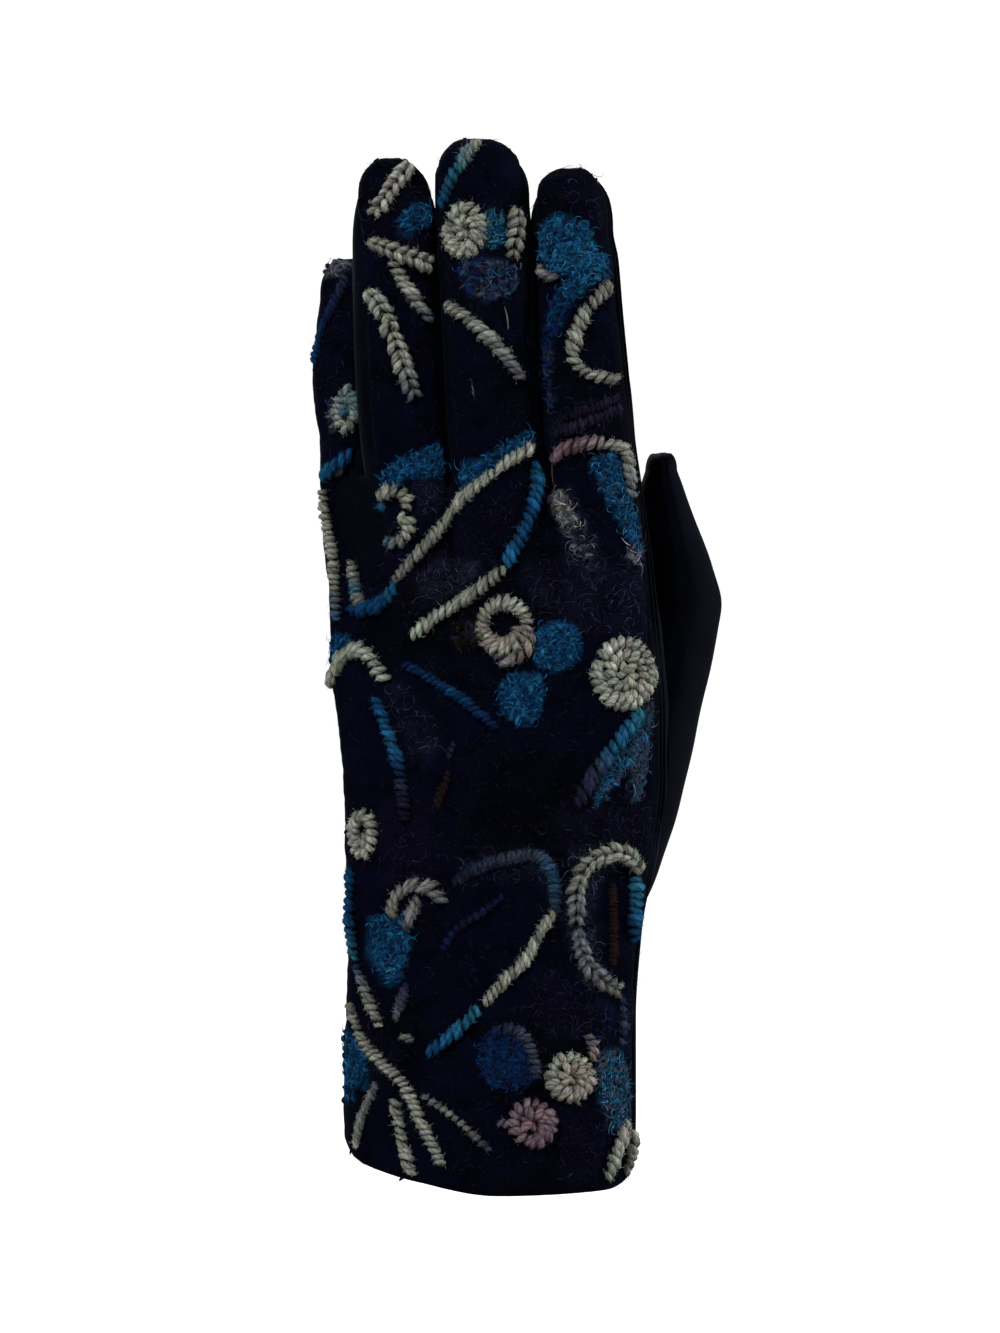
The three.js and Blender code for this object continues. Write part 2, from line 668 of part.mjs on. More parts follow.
function toGeometry(solid) {
  const { vertProperties, triVerts } = solid.getMesh();
  const geometry = new THREE.BufferGeometry();
  geometry.setAttribute("position", new THREE.BufferAttribute(new Float32Array(vertProperties), 3));
  geometry.setIndex(new THREE.BufferAttribute(new Uint32Array(triVerts), 1));
  return geometry;
}

// The space inside the hand's outer face and a little round it.
function handSpace(clearance) {
  const rings = hand.points.map((row, j) =>
    row.map((point, i) => point.clone().addScaledVector(hand.normals[j][i], clearance)),
  );
  return toSolid(ringSolid(rings));
}

// The thumb as a solid, drawn in by the wall for its hollow.
function thumbSolid(inset) {
  const baseZ = THUMB.rows[0].z;
  const rings = [];
  const addRing = (rise) => {
    const ring = [];
    for (let i = 0; i < THUMB_SIDES; i += 1) {
      const degrees = (-360 * i) / THUMB_SIDES;
      ring.push(tubePoint(THUMB, degrees, rise, baseZ, THUMB_SQUARENESS, inset));
    }
    rings.push(ring);
  };
  for (let j = 0; j <= THUMB_STEPS; j += 1) addRing(j / THUMB_STEPS);
  for (let j = 1; j <= THUMB_CAP_STEPS; j += 1) addRing(1 + (j / THUMB_CAP_STEPS) * 0.93);
  return toSolid(ringSolid(rings));
}

// Materials
const wool = new THREE.MeshStandardMaterial({ color: 0x12132a, roughness: 0.95, metalness: 0 });
const velour = new THREE.MeshStandardMaterial({ color: 0x07080c, roughness: 0.88, metalness: 0 });

// The wool panel, cut as one piece for the hand's back and the four fingers' backs
function makeBackPanel() {
  const geometry = panelSheet("back").drawIn(HALF_SEAM_GAP).thicken(WOOL);
  return namedMesh("back_panel", geometry, wool);
}

// The palm velour, with the hole that the thumb is sewn into
function makePalmPanel() {
  const geometry = panelSheet("palm").drawIn(HALF_SEAM_GAP).thicken(VELOUR);
  const cut = toSolid(geometry).subtract(thumbSolid(VELOUR.depth));
  return namedMesh("palm_panel", toGeometry(cut), velour);
}

// The thumb's tube, open where it meets the hand
function makeThumb() {
  const tube = thumbSolid(0).subtract(thumbSolid(VELOUR.depth)).subtract(handSpace(THUMB_GAP));
  return namedMesh("thumb", toGeometry(tube), velour);
}

// The three side strips, the first with its gusset
function makeSideStrips() {
  return FINGER_NAMES.slice(1).map((rightName, place) => {
    const leftName = FINGER_NAMES[place];
    const sheet = stripSheet(leftName, rightName);
    if (leftName === "little") addGusset(sheet);
    return namedMesh(`fourchette_${leftName}_${rightName}`, sheet.drawIn(HALF_SEAM_GAP).thicken(VELOUR), velour);
  });
}

function namedMesh(name, geometry, material) {
  const mesh = new THREE.Mesh(geometry, material);
  mesh.name = name;
  return mesh;
}

const glove = new THREE.Group();
glove.add(makeBackPanel(), makePalmPanel(), makeThumb(), ...makeSideStrips());

export default glove;
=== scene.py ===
"""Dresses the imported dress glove: felted wool back, raised yarn embroidery, black velour."""
import logging
import math
from collections.abc import Iterator
from dataclasses import dataclass, field
from enum import Enum
from typing import NamedTuple

import bpy
import numpy as np
from bpy.types import Material, Node, NodeSocket, NodeTree, Object
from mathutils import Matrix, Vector
from mathutils.bvhtree import BVHTree
from mathutils.kdtree import KDTree


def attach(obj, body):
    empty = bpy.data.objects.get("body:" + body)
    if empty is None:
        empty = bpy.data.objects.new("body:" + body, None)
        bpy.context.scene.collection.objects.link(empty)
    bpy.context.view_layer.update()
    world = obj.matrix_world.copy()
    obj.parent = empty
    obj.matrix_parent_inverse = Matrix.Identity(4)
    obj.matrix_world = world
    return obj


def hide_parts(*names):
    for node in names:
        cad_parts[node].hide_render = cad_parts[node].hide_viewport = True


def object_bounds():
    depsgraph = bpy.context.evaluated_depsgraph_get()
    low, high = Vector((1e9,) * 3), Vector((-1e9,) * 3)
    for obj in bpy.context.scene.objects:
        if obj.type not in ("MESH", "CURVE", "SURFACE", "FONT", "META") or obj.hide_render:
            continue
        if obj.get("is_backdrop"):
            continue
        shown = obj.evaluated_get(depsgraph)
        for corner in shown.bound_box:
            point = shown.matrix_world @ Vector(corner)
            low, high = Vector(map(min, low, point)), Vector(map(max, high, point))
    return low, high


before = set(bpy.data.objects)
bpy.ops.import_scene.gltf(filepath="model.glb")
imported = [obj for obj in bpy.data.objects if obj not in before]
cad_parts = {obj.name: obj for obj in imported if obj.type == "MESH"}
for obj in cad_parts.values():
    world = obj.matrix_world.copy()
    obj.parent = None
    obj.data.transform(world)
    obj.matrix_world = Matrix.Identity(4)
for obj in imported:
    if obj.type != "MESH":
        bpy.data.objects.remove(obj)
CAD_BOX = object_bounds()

Array = np.ndarray
Pair = tuple[float, float]
LOG = logging.getLogger("glove")
MM = 0.001
RNG = np.random.default_rng(11)


class Side(Enum):
    """The two faces of the hand."""

    BACK = "back"
    PALM = "palm"


class Profile:
    """A table's columns as smooth curves with no overshoot, read by its first column."""

    def __init__(self, columns: str, *rows: tuple[float, ...]) -> None:
        """Prepares the curves.

        Args:
            columns: The columns' names.
            *rows: The table.
        """
        self.names = columns.split()
        self.values = np.array(rows, float)
        self.at_key = self.values[:, 0]
        spans = np.diff(self.at_key)[:, None]
        grades = np.diff(self.values, axis=0) / spans
        self.slopes = np.zeros_like(self.values)
        before, after = grades[:-1], grades[1:]
        total = np.where(before * after > 0, before + after, 1)
        self.slopes[1:-1] = np.where(before * after > 0, 2 * before * after / total, 0)

    def at(self, where: Array | float) -> dict[str, Array]:
        """Reads every column at some places.

        Args:
            where: Values of the key column.

        Returns:
            Each column's values there.
        """
        place = np.clip(np.asarray(where, float), self.at_key[0], self.at_key[-1])
        i = np.clip(np.searchsorted(self.at_key, place, "left") - 1, 0, len(self.at_key) - 2)
        span = self.at_key[i + 1] - self.at_key[i]
        t = ((place - self.at_key[i]) / span)[..., None]
        span = span[..., None]
        low, high = self.values[i], self.values[i + 1]
        read = low * (2 * t**3 - 3 * t**2 + 1) + high * (3 * t**2 - 2 * t**3)
        read += self.slopes[i] * span * (t**3 - 2 * t**2 + t)
        read += self.slopes[i + 1] * span * (t**3 - t**2)
        return {name: read[..., k] for k, name in enumerate(self.names)}


@dataclass(frozen=True)
class Tube:
    """A finger or the thumb, with the rounded cap above its last row."""

    cap_height: float
    tip_share: float
    tip_shift: Pair
    sections: Profile
    edges: Profile | None = None


CROTCH_Z = 163.5
BLEND_START_Z = 112.0
GUSSET_POINT_Z = 139.0
GUSSET_TAPER = 9.0
WEB_RISE = 4.0
FINGER_SQUARENESS = 2.2
HAND_SQUARENESS = 2.4
THUMB_SQUARENESS = 2.15
LITTLE_SEAM_ANGLE = 196.0
STRIP_TAPER_START = 0.86
STRIP_END = 1.5
CAP_ROWS = 12
MM_PER_PIXEL = 0.2331
FINGER_NAMES = ("little", "ring", "middle", "index")

# The hand: its ends, how far they lie to the palm, and its depths
HAND = Profile(
    "z left right left_y right_y back palm",
    (0, -32.6, 32.6, 0, 0, 18.4, 18.0), (18, -33.6, 33.2, 0, 0, 18.6, 18.4),
    (40, -33.2, 33.2, 0.2, 0, 17.4, 18.0), (60, -32.8, 34.6, 1, 0.4, 16.0, 17.6),
    (80, -33.3, 38.6, 2, 1.6, 14.8, 17.4), (95, -33.8, 40.8, 3, 2.4, 14.2, 16.8),
    (110, -35.2, 40.9, 4.5, 2.8, 13.8, 15.8), (125, -37.6, 40.1, 7, 3, 13.6, 13.8),
    (145, -38.0, 37.8, 11, 2.6, 14.0, 10.4), (163.5, -39.4, 34.6, 14.5, 2, 14.6, 7.4),
)
# How far the wool stops short of the thumb-side edge
THUMB_SEAM_INSET = Profile(
    "z inset", (0, 1.2), (50, 1.4), (80, 2.6), (110, 3.4), (125, 3.8), (140, 3.0), (163.5, 2.0),
)
# The hem's height by the angle round the cuff
HEM = Profile(
    "angle z", (0, 5.5), (35, 1.0), (90, 0), (130, 3.2), (165, 7.5), (190, 11.0), (230, 8.5), (300, 5.0),
    (360, 5.5),
)
# A section of a finger or the thumb
SECTION = "z x half_width y half_depth"
# The angles of the wool's and the palm velour's edges on a finger
EDGES = "z back_right back_left palm_right palm_left"
FINGERS = {
    "little": Tube(
        cap_height=9.4,
        tip_share=0.24,
        tip_shift=(-1.6, 0.6),
        sections=Profile(
            SECTION, (110, -27.6, 7.4, 8.5, 7.4), (163.5, -32.0, 7.4, 14.5, 7.4),
            (175, -32.1, 7.7, 15.9, 7.6), (186, -33.4, 7.8, 17.0, 7.7), (193.5, -33.7, 7.8, 17.8, 7.6),
            (201, -33.2, 7.5, 18.6, 7.3), (208, -33.4, 6.6, 19.4, 6.6),
        ),
        edges=Profile(
            EDGES, (110, 60, 196, -20, -164), (139, 72, 196, -18, -164), (148, 108, 196, -15, -164),
            (156, 140, 196, -15, -164), (163.5, 128, 196, -15, -164), (175, 84, 196, -24, -164),
            (190, 58, 192, -32, -168), (208, 44, 186, -34, -174),
        ),
    ),
    "ring": Tube(
        cap_height=19.3,
        tip_share=0.16,
        tip_shift=(-0.7, 2.2),
        sections=Profile(
            SECTION, (110, -14.6, 9.8, 1.0, 8.8), (163.5, -19.3, 10.15, 1.5, 8.8),
            (175, -20.65, 10.2, 1.6, 8.9), (190, -21.75, 10.3, 1.8, 8.9), (205, -22.35, 10.2, 2.4, 8.8),
            (221, -22.95, 9.8, 3.6, 8.4),
        ),
        edges=Profile(
            EDGES, (110, 38, 136, -38, -112), (163.5, 36, 131, -36, -105), (180, 35, 131, -35, -124),
            (221, 35, 129, -35, -140),
        ),
    ),
    "middle": Tube(
        cap_height=13,
        tip_share=0.2,
        tip_shift=(-0.9, 1.4),
        sections=Profile(
            SECTION, (110, 3.6, 10.0, 0.4, 9.4), (163.5, 1.9, 10.65, 0, 9.4),
            (175, 0.6, 10.65, -0.2, 9.4), (190, -0.45, 10.6, -0.2, 9.3), (205, -1.05, 10.7, 0.4, 9.2),
            (217, -1.5, 10.9, 1.4, 9.0), (231.6, -2.9, 10.8, 3.0, 8.6),
        ),
        edges=Profile(
            EDGES, (110, 38, 142, -38, -142), (163.5, 36, 144, -36, -144),
            (231.6, 36, 146, -36, -144),
        ),
    ),
    "index": Tube(
        cap_height=14,
        tip_share=0.2,
        tip_shift=(-0.9, 1.6),
        sections=Profile(
            SECTION, (110, 27.4, 12.6, 2.2, 9.2), (145, 25.5, 12.1, 2.1, 9.2),
            (155, 24.6, 11.6, 2.0, 9.2), (163.5, 23.9, 10.95, 2.0, 9.2), (175, 22.45, 10.8, 2.0, 9.1),
            (190, 21.2, 10.65, 2.0, 9.0), (205, 20.25, 10.2, 2.6, 8.8), (217, 19.65, 9.8, 3.4, 8.5),
            (224, 18.9, 9.3, 4.2, 8.2),
        ),
        edges=Profile(
            EDGES, (110, 40, 142, 40, -142), (145, 43, 143, 43, -143), (163.5, 41, 144, 41, -144),
            (224, 45, 146, 45, -144),
        ),
    ),
}
THUMB = Tube(
    cap_height=4.1,
    tip_share=0.5,
    tip_shift=(0, 0),
    sections=Profile(
        SECTION, (48, 16, 8.0, 3, 7.0), (60, 21.5, 10.4, 6.4, 9.2), (75, 27.2, 12.3, 10.4, 11.2),
        (95, 32.8, 12.5, 14.6, 11.8), (116, 38.2, 12.0, 18.4, 11.2), (131, 41.9, 11.5, 20.6, 10.6),
        (138, 43.2, 10.9, 21.2, 10.0), (145, 42.6, 9.5, 21.6, 9.4), (152, 41.7, 7.9, 22.0, 8.6),
        (158.5, 41.0, 6.3, 22.2, 7.6), (164, 40.1, 5.25, 22.4, 6.5), (167.4, 39.9, 4.15, 22.45, 5.95),
        (168.4, 39.85, 3.8, 22.5, 5.75),
    ),
)


def unit(vectors: Array) -> Array:
    """Vectors at length one."""
    return vectors / np.maximum(np.linalg.norm(vectors, axis=-1, keepdims=True), 1e-9)


def square_trig(degrees: Array, squareness: float) -> tuple[Array, Array]:
    """Cosine and sine pushed out towards a square.

    Args:
        degrees: Angles.
        squareness: 2 for an ellipse, more for a squarer section.

    Returns:
        The share across and the share out.
    """
    turn = np.radians(degrees)
    power = 2 / squareness
    across = np.sign(np.cos(turn)) * np.abs(np.cos(turn)) ** power
    out = np.sign(np.sin(turn)) * np.abs(np.sin(turn)) ** power
    return across, out


class TubeForm:
    """The outer face of a finger or the thumb."""

    def __init__(self, tube: Tube, base_z: float, squareness: float) -> None:
        """Keeps the tube's curves.

        Args:
            tube: Its table.
            base_z: The height where its rise is 0.
            squareness: Its section's shape.
        """
        self.tube = tube
        self.base_z = base_z
        self.cap_z = tube.sections.at_key[-1]
        self.squareness = squareness

    def height(self, rise: Array) -> Array:
        """The height at a rise: 1 is the cap's base and 2 its top."""
        cap = self.cap_z + self.tube.cap_height * np.sin((np.maximum(rise, 1) - 1) * math.pi / 2)
        return np.where(rise <= 1, self.base_z + (self.cap_z - self.base_z) * rise, cap)

    def rise(self, z: Array) -> Array:
        """The rise at a height below the cap."""
        return (z - self.base_z) / (self.cap_z - self.base_z)

    def point(self, degrees: Array, rise: Array, inset: float = 0) -> Array:
        """Points on the tube.

        Args:
            degrees: Angles from the thumb side over the back.
            rise: How far up, 2 at the tip.
            inset: How far inside the outer face.

        Returns:
            The points, in millimetres.
        """
        row = self.tube.sections.at(self.height(np.minimum(rise, 1)))
        turn = np.clip(rise - 1, 0, 1) * math.pi / 2
        shrink = np.cos(turn)
        across, out = square_trig(degrees, self.squareness)
        share = self.tube.tip_share + (1 - self.tube.tip_share) * shrink
        x = row["x"] + self.tube.tip_shift[0] * (1 - shrink)
        y = row["y"] + self.tube.tip_shift[1] * (1 - shrink)
        z = self.height(rise) - np.where(rise > 1, inset * np.sin(turn), 0)
        x = x + (row["half_width"] - inset) * share * across
        y = y - (row["half_depth"] - inset) * shrink * out
        return np.stack(np.broadcast_arrays(x, y, z), -1)

    def normal(self, degrees: Array, rise: Array) -> Array:
        """Outward normals at points on the tube."""
        along = self.point(degrees, rise + 0.01) - self.point(degrees, rise - 0.01)
        round_it = self.point(degrees + 1, rise) - self.point(degrees - 1, rise)
        normal = unit(np.cross(along, round_it))
        return np.where((rise > 1.999)[..., None], np.array([0, 0, 1.0]), normal)


class FingerForm(TubeForm):
    """A finger, with where the wool and the palm velour end on it."""

    def __init__(self, name: str) -> None:
        """Keeps the finger's curves by its name."""
        super().__init__(FINGERS[name], CROTCH_Z, FINGER_SQUARENESS)
        self.name = name

    def edge(self, edge: str, rise: Array) -> Array:
        """The angle of a cloth edge.

        Args:
            edge: back_right, back_left, palm_right or palm_left.
            rise: How far up.

        Returns:
            The angles, closing on the finger's side above the side strips.
        """
        angle = self.tube.edges.at(self.height(np.minimum(rise, 1)))[edge]
        side = {"back_right": 0, "back_left": 180, "palm_right": 0, "palm_left": -180}[edge]
        free = {"little": "left", "index": "right"}.get(self.name, "none")
        taper = np.clip((rise - STRIP_TAPER_START) / (STRIP_END - STRIP_TAPER_START), 0, 1)
        close = np.clip(rise - 1, 0, 1) ** 2 if edge.endswith(free) else taper**1.6
        return angle + (side - angle) * close

    def column(self, side: Side, share: Array, rise: Array) -> Array:
        """The angle at a share of the way across the finger's wool or velour."""
        first, last = ("left", "right") if side is Side.BACK else ("right", "left")
        start = self.edge(f"{side.value}_{first}", rise)
        return start + (self.edge(f"{side.value}_{last}", rise) - start) * share


class Column(NamedTuple):
    """A line up the hand: on a finger, or between it and the next."""

    finger: str
    share: float
    beyond: str = ""


def smoothstep(value: Array, low: float, high: float) -> Array:
    """A smooth step from 0 to 1 between two values."""
    t = np.clip((value - low) / (high - low), 0, 1)
    return t * t * (3 - 2 * t)


class GloveForm:
    """The glove's outer face, as one grid for the hand and one for each finger and side."""

    def __init__(self, fineness: float) -> None:
        """Works out the columns and the hand's ring.

        Args:
            fineness: The distance between columns, in millimetres.
        """
        self.slot_cells = 4
        self.row_spacing = fineness * 1.25
        self.fingers = {name: FingerForm(name) for name in FINGER_NAMES}
        self.cells = {}
        for side in Side:
            for name in FINGER_NAMES:
                arc = self.fingers[name].point(
                    self.fingers[name].column(side, np.linspace(0, 1, 30), np.zeros(30)),
                    np.zeros(30),
                )
                length = np.linalg.norm(np.diff(arc, axis=0), axis=1).sum()
                self.cells[side, name] = max(6, round(length / fineness))
        orders = {Side.BACK: FINGER_NAMES, Side.PALM: FINGER_NAMES[::-1]}
        self.columns = {side: self.make_columns(side, orders[side]) for side in Side}
        self.shares = {side: self.column_shares(side) for side in Side}
        ups = np.linspace(0, 1, round(CROTCH_Z / fineness / 1.15))
        self.gusset_row = int(np.argmin(np.abs(ups - GUSSET_POINT_Z / CROTCH_Z)))
        ups[self.gusset_row] = GUSSET_POINT_Z / CROTCH_Z
        self.ups = ups
        self.build_ring()

    def make_columns(self, side: Side, order: tuple[str, ...]) -> list[Column]:
        """Lists one side's columns in order."""
        columns = []
        for name, beyond in zip(order, (*order[1:], ""), strict=True):
            cells = self.cells[side, name]
            columns += [Column(name, i / cells) for i in range(cells + 1)]
            slots = range(1, self.slot_cells) if beyond else ()
            columns += [Column(name, i / self.slot_cells, beyond) for i in slots]
        return columns

    def finger_point(self, side: Side, column: Column, z: Array) -> Array:
        """Where a column would be if the fingers ran on down into the hand."""

        def on(name: str, share: float) -> Array:
            """A point on one finger."""
            finger = self.fingers[name]
            rise = finger.rise(z)
            return finger.point(finger.column(side, share, rise), rise)

        if not column.beyond:
            return on(column.finger, column.share)
        start = on(column.finger, 1)
        return start + (on(column.beyond, 0) - start) * column.share

    def column_shares(self, side: Side) -> Array:
        """Each column's share of its side's length, where the fingers part."""
        level = np.array([CROTCH_Z])
        points = np.array([self.finger_point(side, c, level)[0] for c in self.columns[side]])
        lengths = np.cumsum(np.linalg.norm(np.diff(points, axis=0), axis=1))
        return np.concatenate([[0], lengths / lengths[-1]])

    def seam_angle(self, z: Array) -> Array:
        """The angle on the section where wool meets velour at the thumb side."""
        row = HAND.at(z)
        share = 1 - THUMB_SEAM_INSET.at(z)["inset"] / ((row["right"] - row["left"]) / 2)
        return np.degrees(np.arccos(share ** (HAND_SQUARENESS / 2)))

    def outline(self, z: Array, start: Array, end: Array, share: float) -> Array:
        """Points at a share of the length of a section between two angles.

        Args:
            z: Heights.
            start: The angle that each section's side starts at.
            end: The angle that it ends at.
            share: The share of its length.

        Returns:
            One point for each height.
        """
        samples = np.linspace(0, 1, 97)
        degrees = start[:, None] + (end - start)[:, None] * samples
        row = {name: values[:, None] for name, values in HAND.at(z).items()}
        across, out = square_trig(degrees, HAND_SQUARENESS)
        middle = (row["left"] + row["right"]) / 2
        half = (row["right"] - row["left"]) / 2
        line_y = row["right_y"] + (row["left_y"] - row["right_y"]) * (1 - across) / 2
        depth = np.where(out > 0, row["back"], row["palm"])
        x = middle + half * across
        y = line_y - depth * out
        lengths = np.cumsum(np.hypot(np.diff(x), np.diff(y)), axis=1)
        lengths = np.hstack([np.zeros((len(z), 1)), lengths])
        wanted = lengths[:, -1] * share
        picked = [
            (np.interp(w, line, a), np.interp(w, line, b))
            for w, line, a, b in zip(wanted, lengths, x, y, strict=True)
        ]
        return np.column_stack([np.array(picked), z])

    def hem_z(self, side: Side, share: float) -> float:
        """The hem's height at a share of one side."""
        seam = float(self.seam_angle(np.array([0.0]))[0])
        if side is Side.BACK:
            degrees = LITTLE_SEAM_ANGLE + (seam - LITTLE_SEAM_ANGLE) * share
        else:
            degrees = seam + 360 + (LITTLE_SEAM_ANGLE - seam - 360) * share
        return float(HEM.at(degrees - 360 if degrees > 360 else degrees)["z"])

    def hand_column(self, side: Side, column: Column, share: float) -> Array:
        """One column's points from the hem to where the fingers part."""
        hem = self.hem_z(side, share)
        z = hem + (CROTCH_Z - hem) * self.ups
        seam = self.seam_angle(z)
        far = np.full_like(z, LITTLE_SEAM_ANGLE)
        ends = (far, seam) if side is Side.BACK else (seam, far - 360)
        section = self.outline(z, *ends, share)
        blend = smoothstep(z, BLEND_START_Z, CROTCH_Z)[:, None]
        return section + (self.finger_point(side, column, z) - section) * blend

    def build_ring(self) -> None:
        """Builds the hand as a closed ring of columns, with normals."""
        lines = []
        for side in Side:
            made = [
                self.hand_column(side, column, share)
                for column, share in zip(self.columns[side], self.shares[side], strict=True)
            ]
            lines += made if side is Side.BACK else made[1:-1]
        self.points = np.array(lines).swapaxes(0, 1)
        first = self.cells[Side.BACK, "little"]
        middle = first + self.slot_cells // 2
        z = self.points[:, middle, 2]
        near = np.abs(z - z[self.gusset_row]) / GUSSET_TAPER
        spread = np.clip(near, 0.05, 1)[:, None]
        for k in range(self.slot_cells + 1):
            i = first + k
            self.points[:, i] = self.points[:, middle] * (1 - spread) + self.points[:, i] * spread
        around = np.roll(self.points, -1, axis=1) - np.roll(self.points, 1, axis=1)
        self.normals = unit(np.cross(around, np.gradient(self.points, axis=0)))

    def ring_index(self, side: Side, index: int) -> int:
        """Where one side's column is in the ring."""
        if side is Side.BACK:
            return index
        return (len(self.columns[Side.BACK]) - 1 + index) % self.points.shape[1]

    def rises(self, finger: FingerForm) -> Array:
        """The rises of a finger's rows above where the fingers part."""
        shaft = max(8, round((finger.cap_z - CROTCH_Z) / self.row_spacing))
        return np.concatenate([np.arange(1, shaft + 1) / shaft, 1 + np.arange(1, CAP_ROWS + 1) / CAP_ROWS])


@dataclass
class Sheet:
    """Cloth as shared points with normals, and faces of three or four of them."""

    points: list[Array] = field(default_factory=list)
    normals: list[Array] = field(default_factory=list)
    faces: list[tuple[int, ...]] = field(default_factory=list)
    by_key: dict[tuple, int] = field(default_factory=dict)

    def add(self, key: tuple, point: Array, normal: Array) -> int:
        """Adds a point once.

        Args:
            key: What the point is known by.
            point: Its place.
            normal: Its outward normal.

        Returns:
            Its number.
        """
        if key not in self.by_key:
            self.by_key[key] = len(self.points)
            self.points.append(np.array(point, float))
            self.normals.append(np.array(normal, float))
        return self.by_key[key]

    def grid(self, rows: list[list[int]]) -> None:
        """Adds the faces between rows of point numbers."""
        for low, high in zip(rows, rows[1:], strict=False):
            for i in range(1, len(low)):
                corners = (low[i - 1], low[i], high[i], high[i - 1])
                face = tuple(c for k, c in enumerate(corners) if c != corners[k - 1])
                if len(face) > 2:
                    self.faces.append(face)

    def border(self) -> list[tuple[int, int]]:
        """The edges that only one face has."""
        edges = {}
        for face in self.faces:
            for k, start in enumerate(face):
                end = face[(k + 1) % len(face)]
                if edges.pop((end, start), None) is None:
                    edges[start, end] = True
        return list(edges)

    def border_distance(self) -> Array:
        """Each point's distance to the nearest edge of the sheet."""
        rim = sorted({v for edge in self.border() for v in edge})
        tree = KDTree(len(rim))
        for i, v in enumerate(rim):
            tree.insert(self.points[v], i)
        tree.balance()
        return np.array([tree.find(point)[2] for point in self.points])

    def shell(self, outer: Array, inner: Array) -> tuple[Array, list]:
        """The closed solid between two offsets of the sheet.

        Args:
            outer: How far each point's outer face is proud.
            inner: How far each point's inner face is deep.

        Returns:
            Points in millimetres, and faces.
        """
        points = np.array(self.points)
        normals = np.array(self.normals)
        count = len(points)
        both = np.vstack([points + normals * outer[:, None], points - normals * inner[:, None]])
        faces = list(self.faces)
        faces += [tuple(v + count for v in face[::-1]) for face in self.faces]
        faces += [(b, a, a + count, b + count) for a, b in self.border()]
        return both, faces


def band_faces(rings: int, sides: int, first: int = 0, turned: bool = False) -> list[tuple[int, ...]]:
    """The faces between rings of points that are numbered ring by ring.

    Args:
        rings: How many rings there are.
        sides: How many points a ring has.
        first: The first point's number.
        turned: True if the faces go up first and then round.

    Returns:
        A face for each side of each band.
    """
    faces = []
    for low in range(first, first + (rings - 1) * sides, sides):
        for i in range(sides):
            k = (i + 1) % sides
            face = (low + i, low + k, low + sides + k, low + sides + i)
            faces.append((face[0], *face[:0:-1]) if turned else face)
    return faces


def show(thing: Object) -> None:
    """Puts an object in the scene."""
    bpy.context.scene.collection.objects.link(thing)


def make_object(name: str, points: Array, faces: list, material: Material) -> Object:
    """Makes a smooth mesh object that rides on the glove.

    Args:
        name: The piece's name.
        points: Points in millimetres.
        faces: Faces as point numbers.
        material: Its finish.

    Returns:
        The object, linked to the scene.
    """
    mesh = bpy.data.meshes.new(name)
    mesh.from_pydata((np.asarray(points) * MM).tolist(), [], faces)
    mesh.materials.append(material)
    mesh.shade_smooth()
    piece = bpy.data.objects.new(name, mesh)
    show(piece)
    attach(piece, "root")
    LOG.info("%s: %d points, %d faces", name, len(points), len(faces))
    return piece


def sharpen(piece: Object, degrees: float) -> None:
    """Marks the edges that are sharper than an angle, so that they shade as edges."""
    mesh = piece.data
    normals = np.array([face.normal for face in mesh.polygons])
    sides: dict[int, list[int]] = {}
    for face in mesh.polygons:
        for loop in face.loop_indices:
            sides.setdefault(mesh.loops[loop].edge_index, []).append(face.index)
    limit = math.cos(math.radians(degrees))
    for edge, pair in sides.items():
        if len(pair) == 2 and normals[pair[0]] @ normals[pair[1]] < limit:
            mesh.edges[edge].use_edge_sharp = True


def lumps(points: Array, size: float, seed: float) -> Array:
    """Smooth unevenness from sines in turned directions.

    Args:
        points: Places in millimetres.
        size: The lumps' size in millimetres.
        seed: Shifts the pattern.

    Returns:
        Values from about -1 to 1.
    """
    total = np.zeros(len(points))
    for k in range(7):
        turn = seed * 1.7 + k * 2.4
        lean = math.cos(seed + k * 1.3)
        way = unit(np.array([math.cos(turn), lean, math.sin(turn)]))
        rate = math.tau / (size * (0.75 + 0.13 * k))
        total += np.sin(points @ way * rate + seed * (k + 1))
    return total / 3.2


class Nodes:
    """Shorthand for building a node tree."""

    def __init__(self, tree: NodeTree) -> None:
        """Keeps the tree."""
        self.tree = tree

    def add(self, kind: str, links: dict | None = None, **settings: object) -> Node:
        """Adds a node.

        Args:
            kind: The node's type name.
            links: Input name or number to a socket or a value.
            **settings: The node's own properties.

        Returns:
            The node.
        """
        node = self.tree.nodes.new(kind)
        for name, value in settings.items():
            setattr(node, name, value)
        for name, value in (links or {}).items():
            socket = node.inputs[name]
            if isinstance(value, NodeSocket):
                self.tree.links.new(value, socket)
            else:
                socket.default_value = value
        return node

    def math(self, kind: str, a: object, b: object = 0.0) -> NodeSocket:
        """A math node's value."""
        return self.add("ShaderNodeMath", {0: a, 1: b}, operation=kind).outputs[0]

    def mix(self, share: object, a: object, b: object, blend: str = "MIX") -> NodeSocket:
        """A mixed colour."""
        links = {0: share, 6: a, 7: b}
        return self.add("ShaderNodeMix", links, data_type="RGBA", blend_type=blend).outputs[2]

    def ramp(self, value: object, low: float, high: float) -> NodeSocket:
        """A value from one range mapped to 0 to 1 and held inside it."""
        return self.add("ShaderNodeMapRange", {0: value, 1: low, 2: high}).outputs[0]





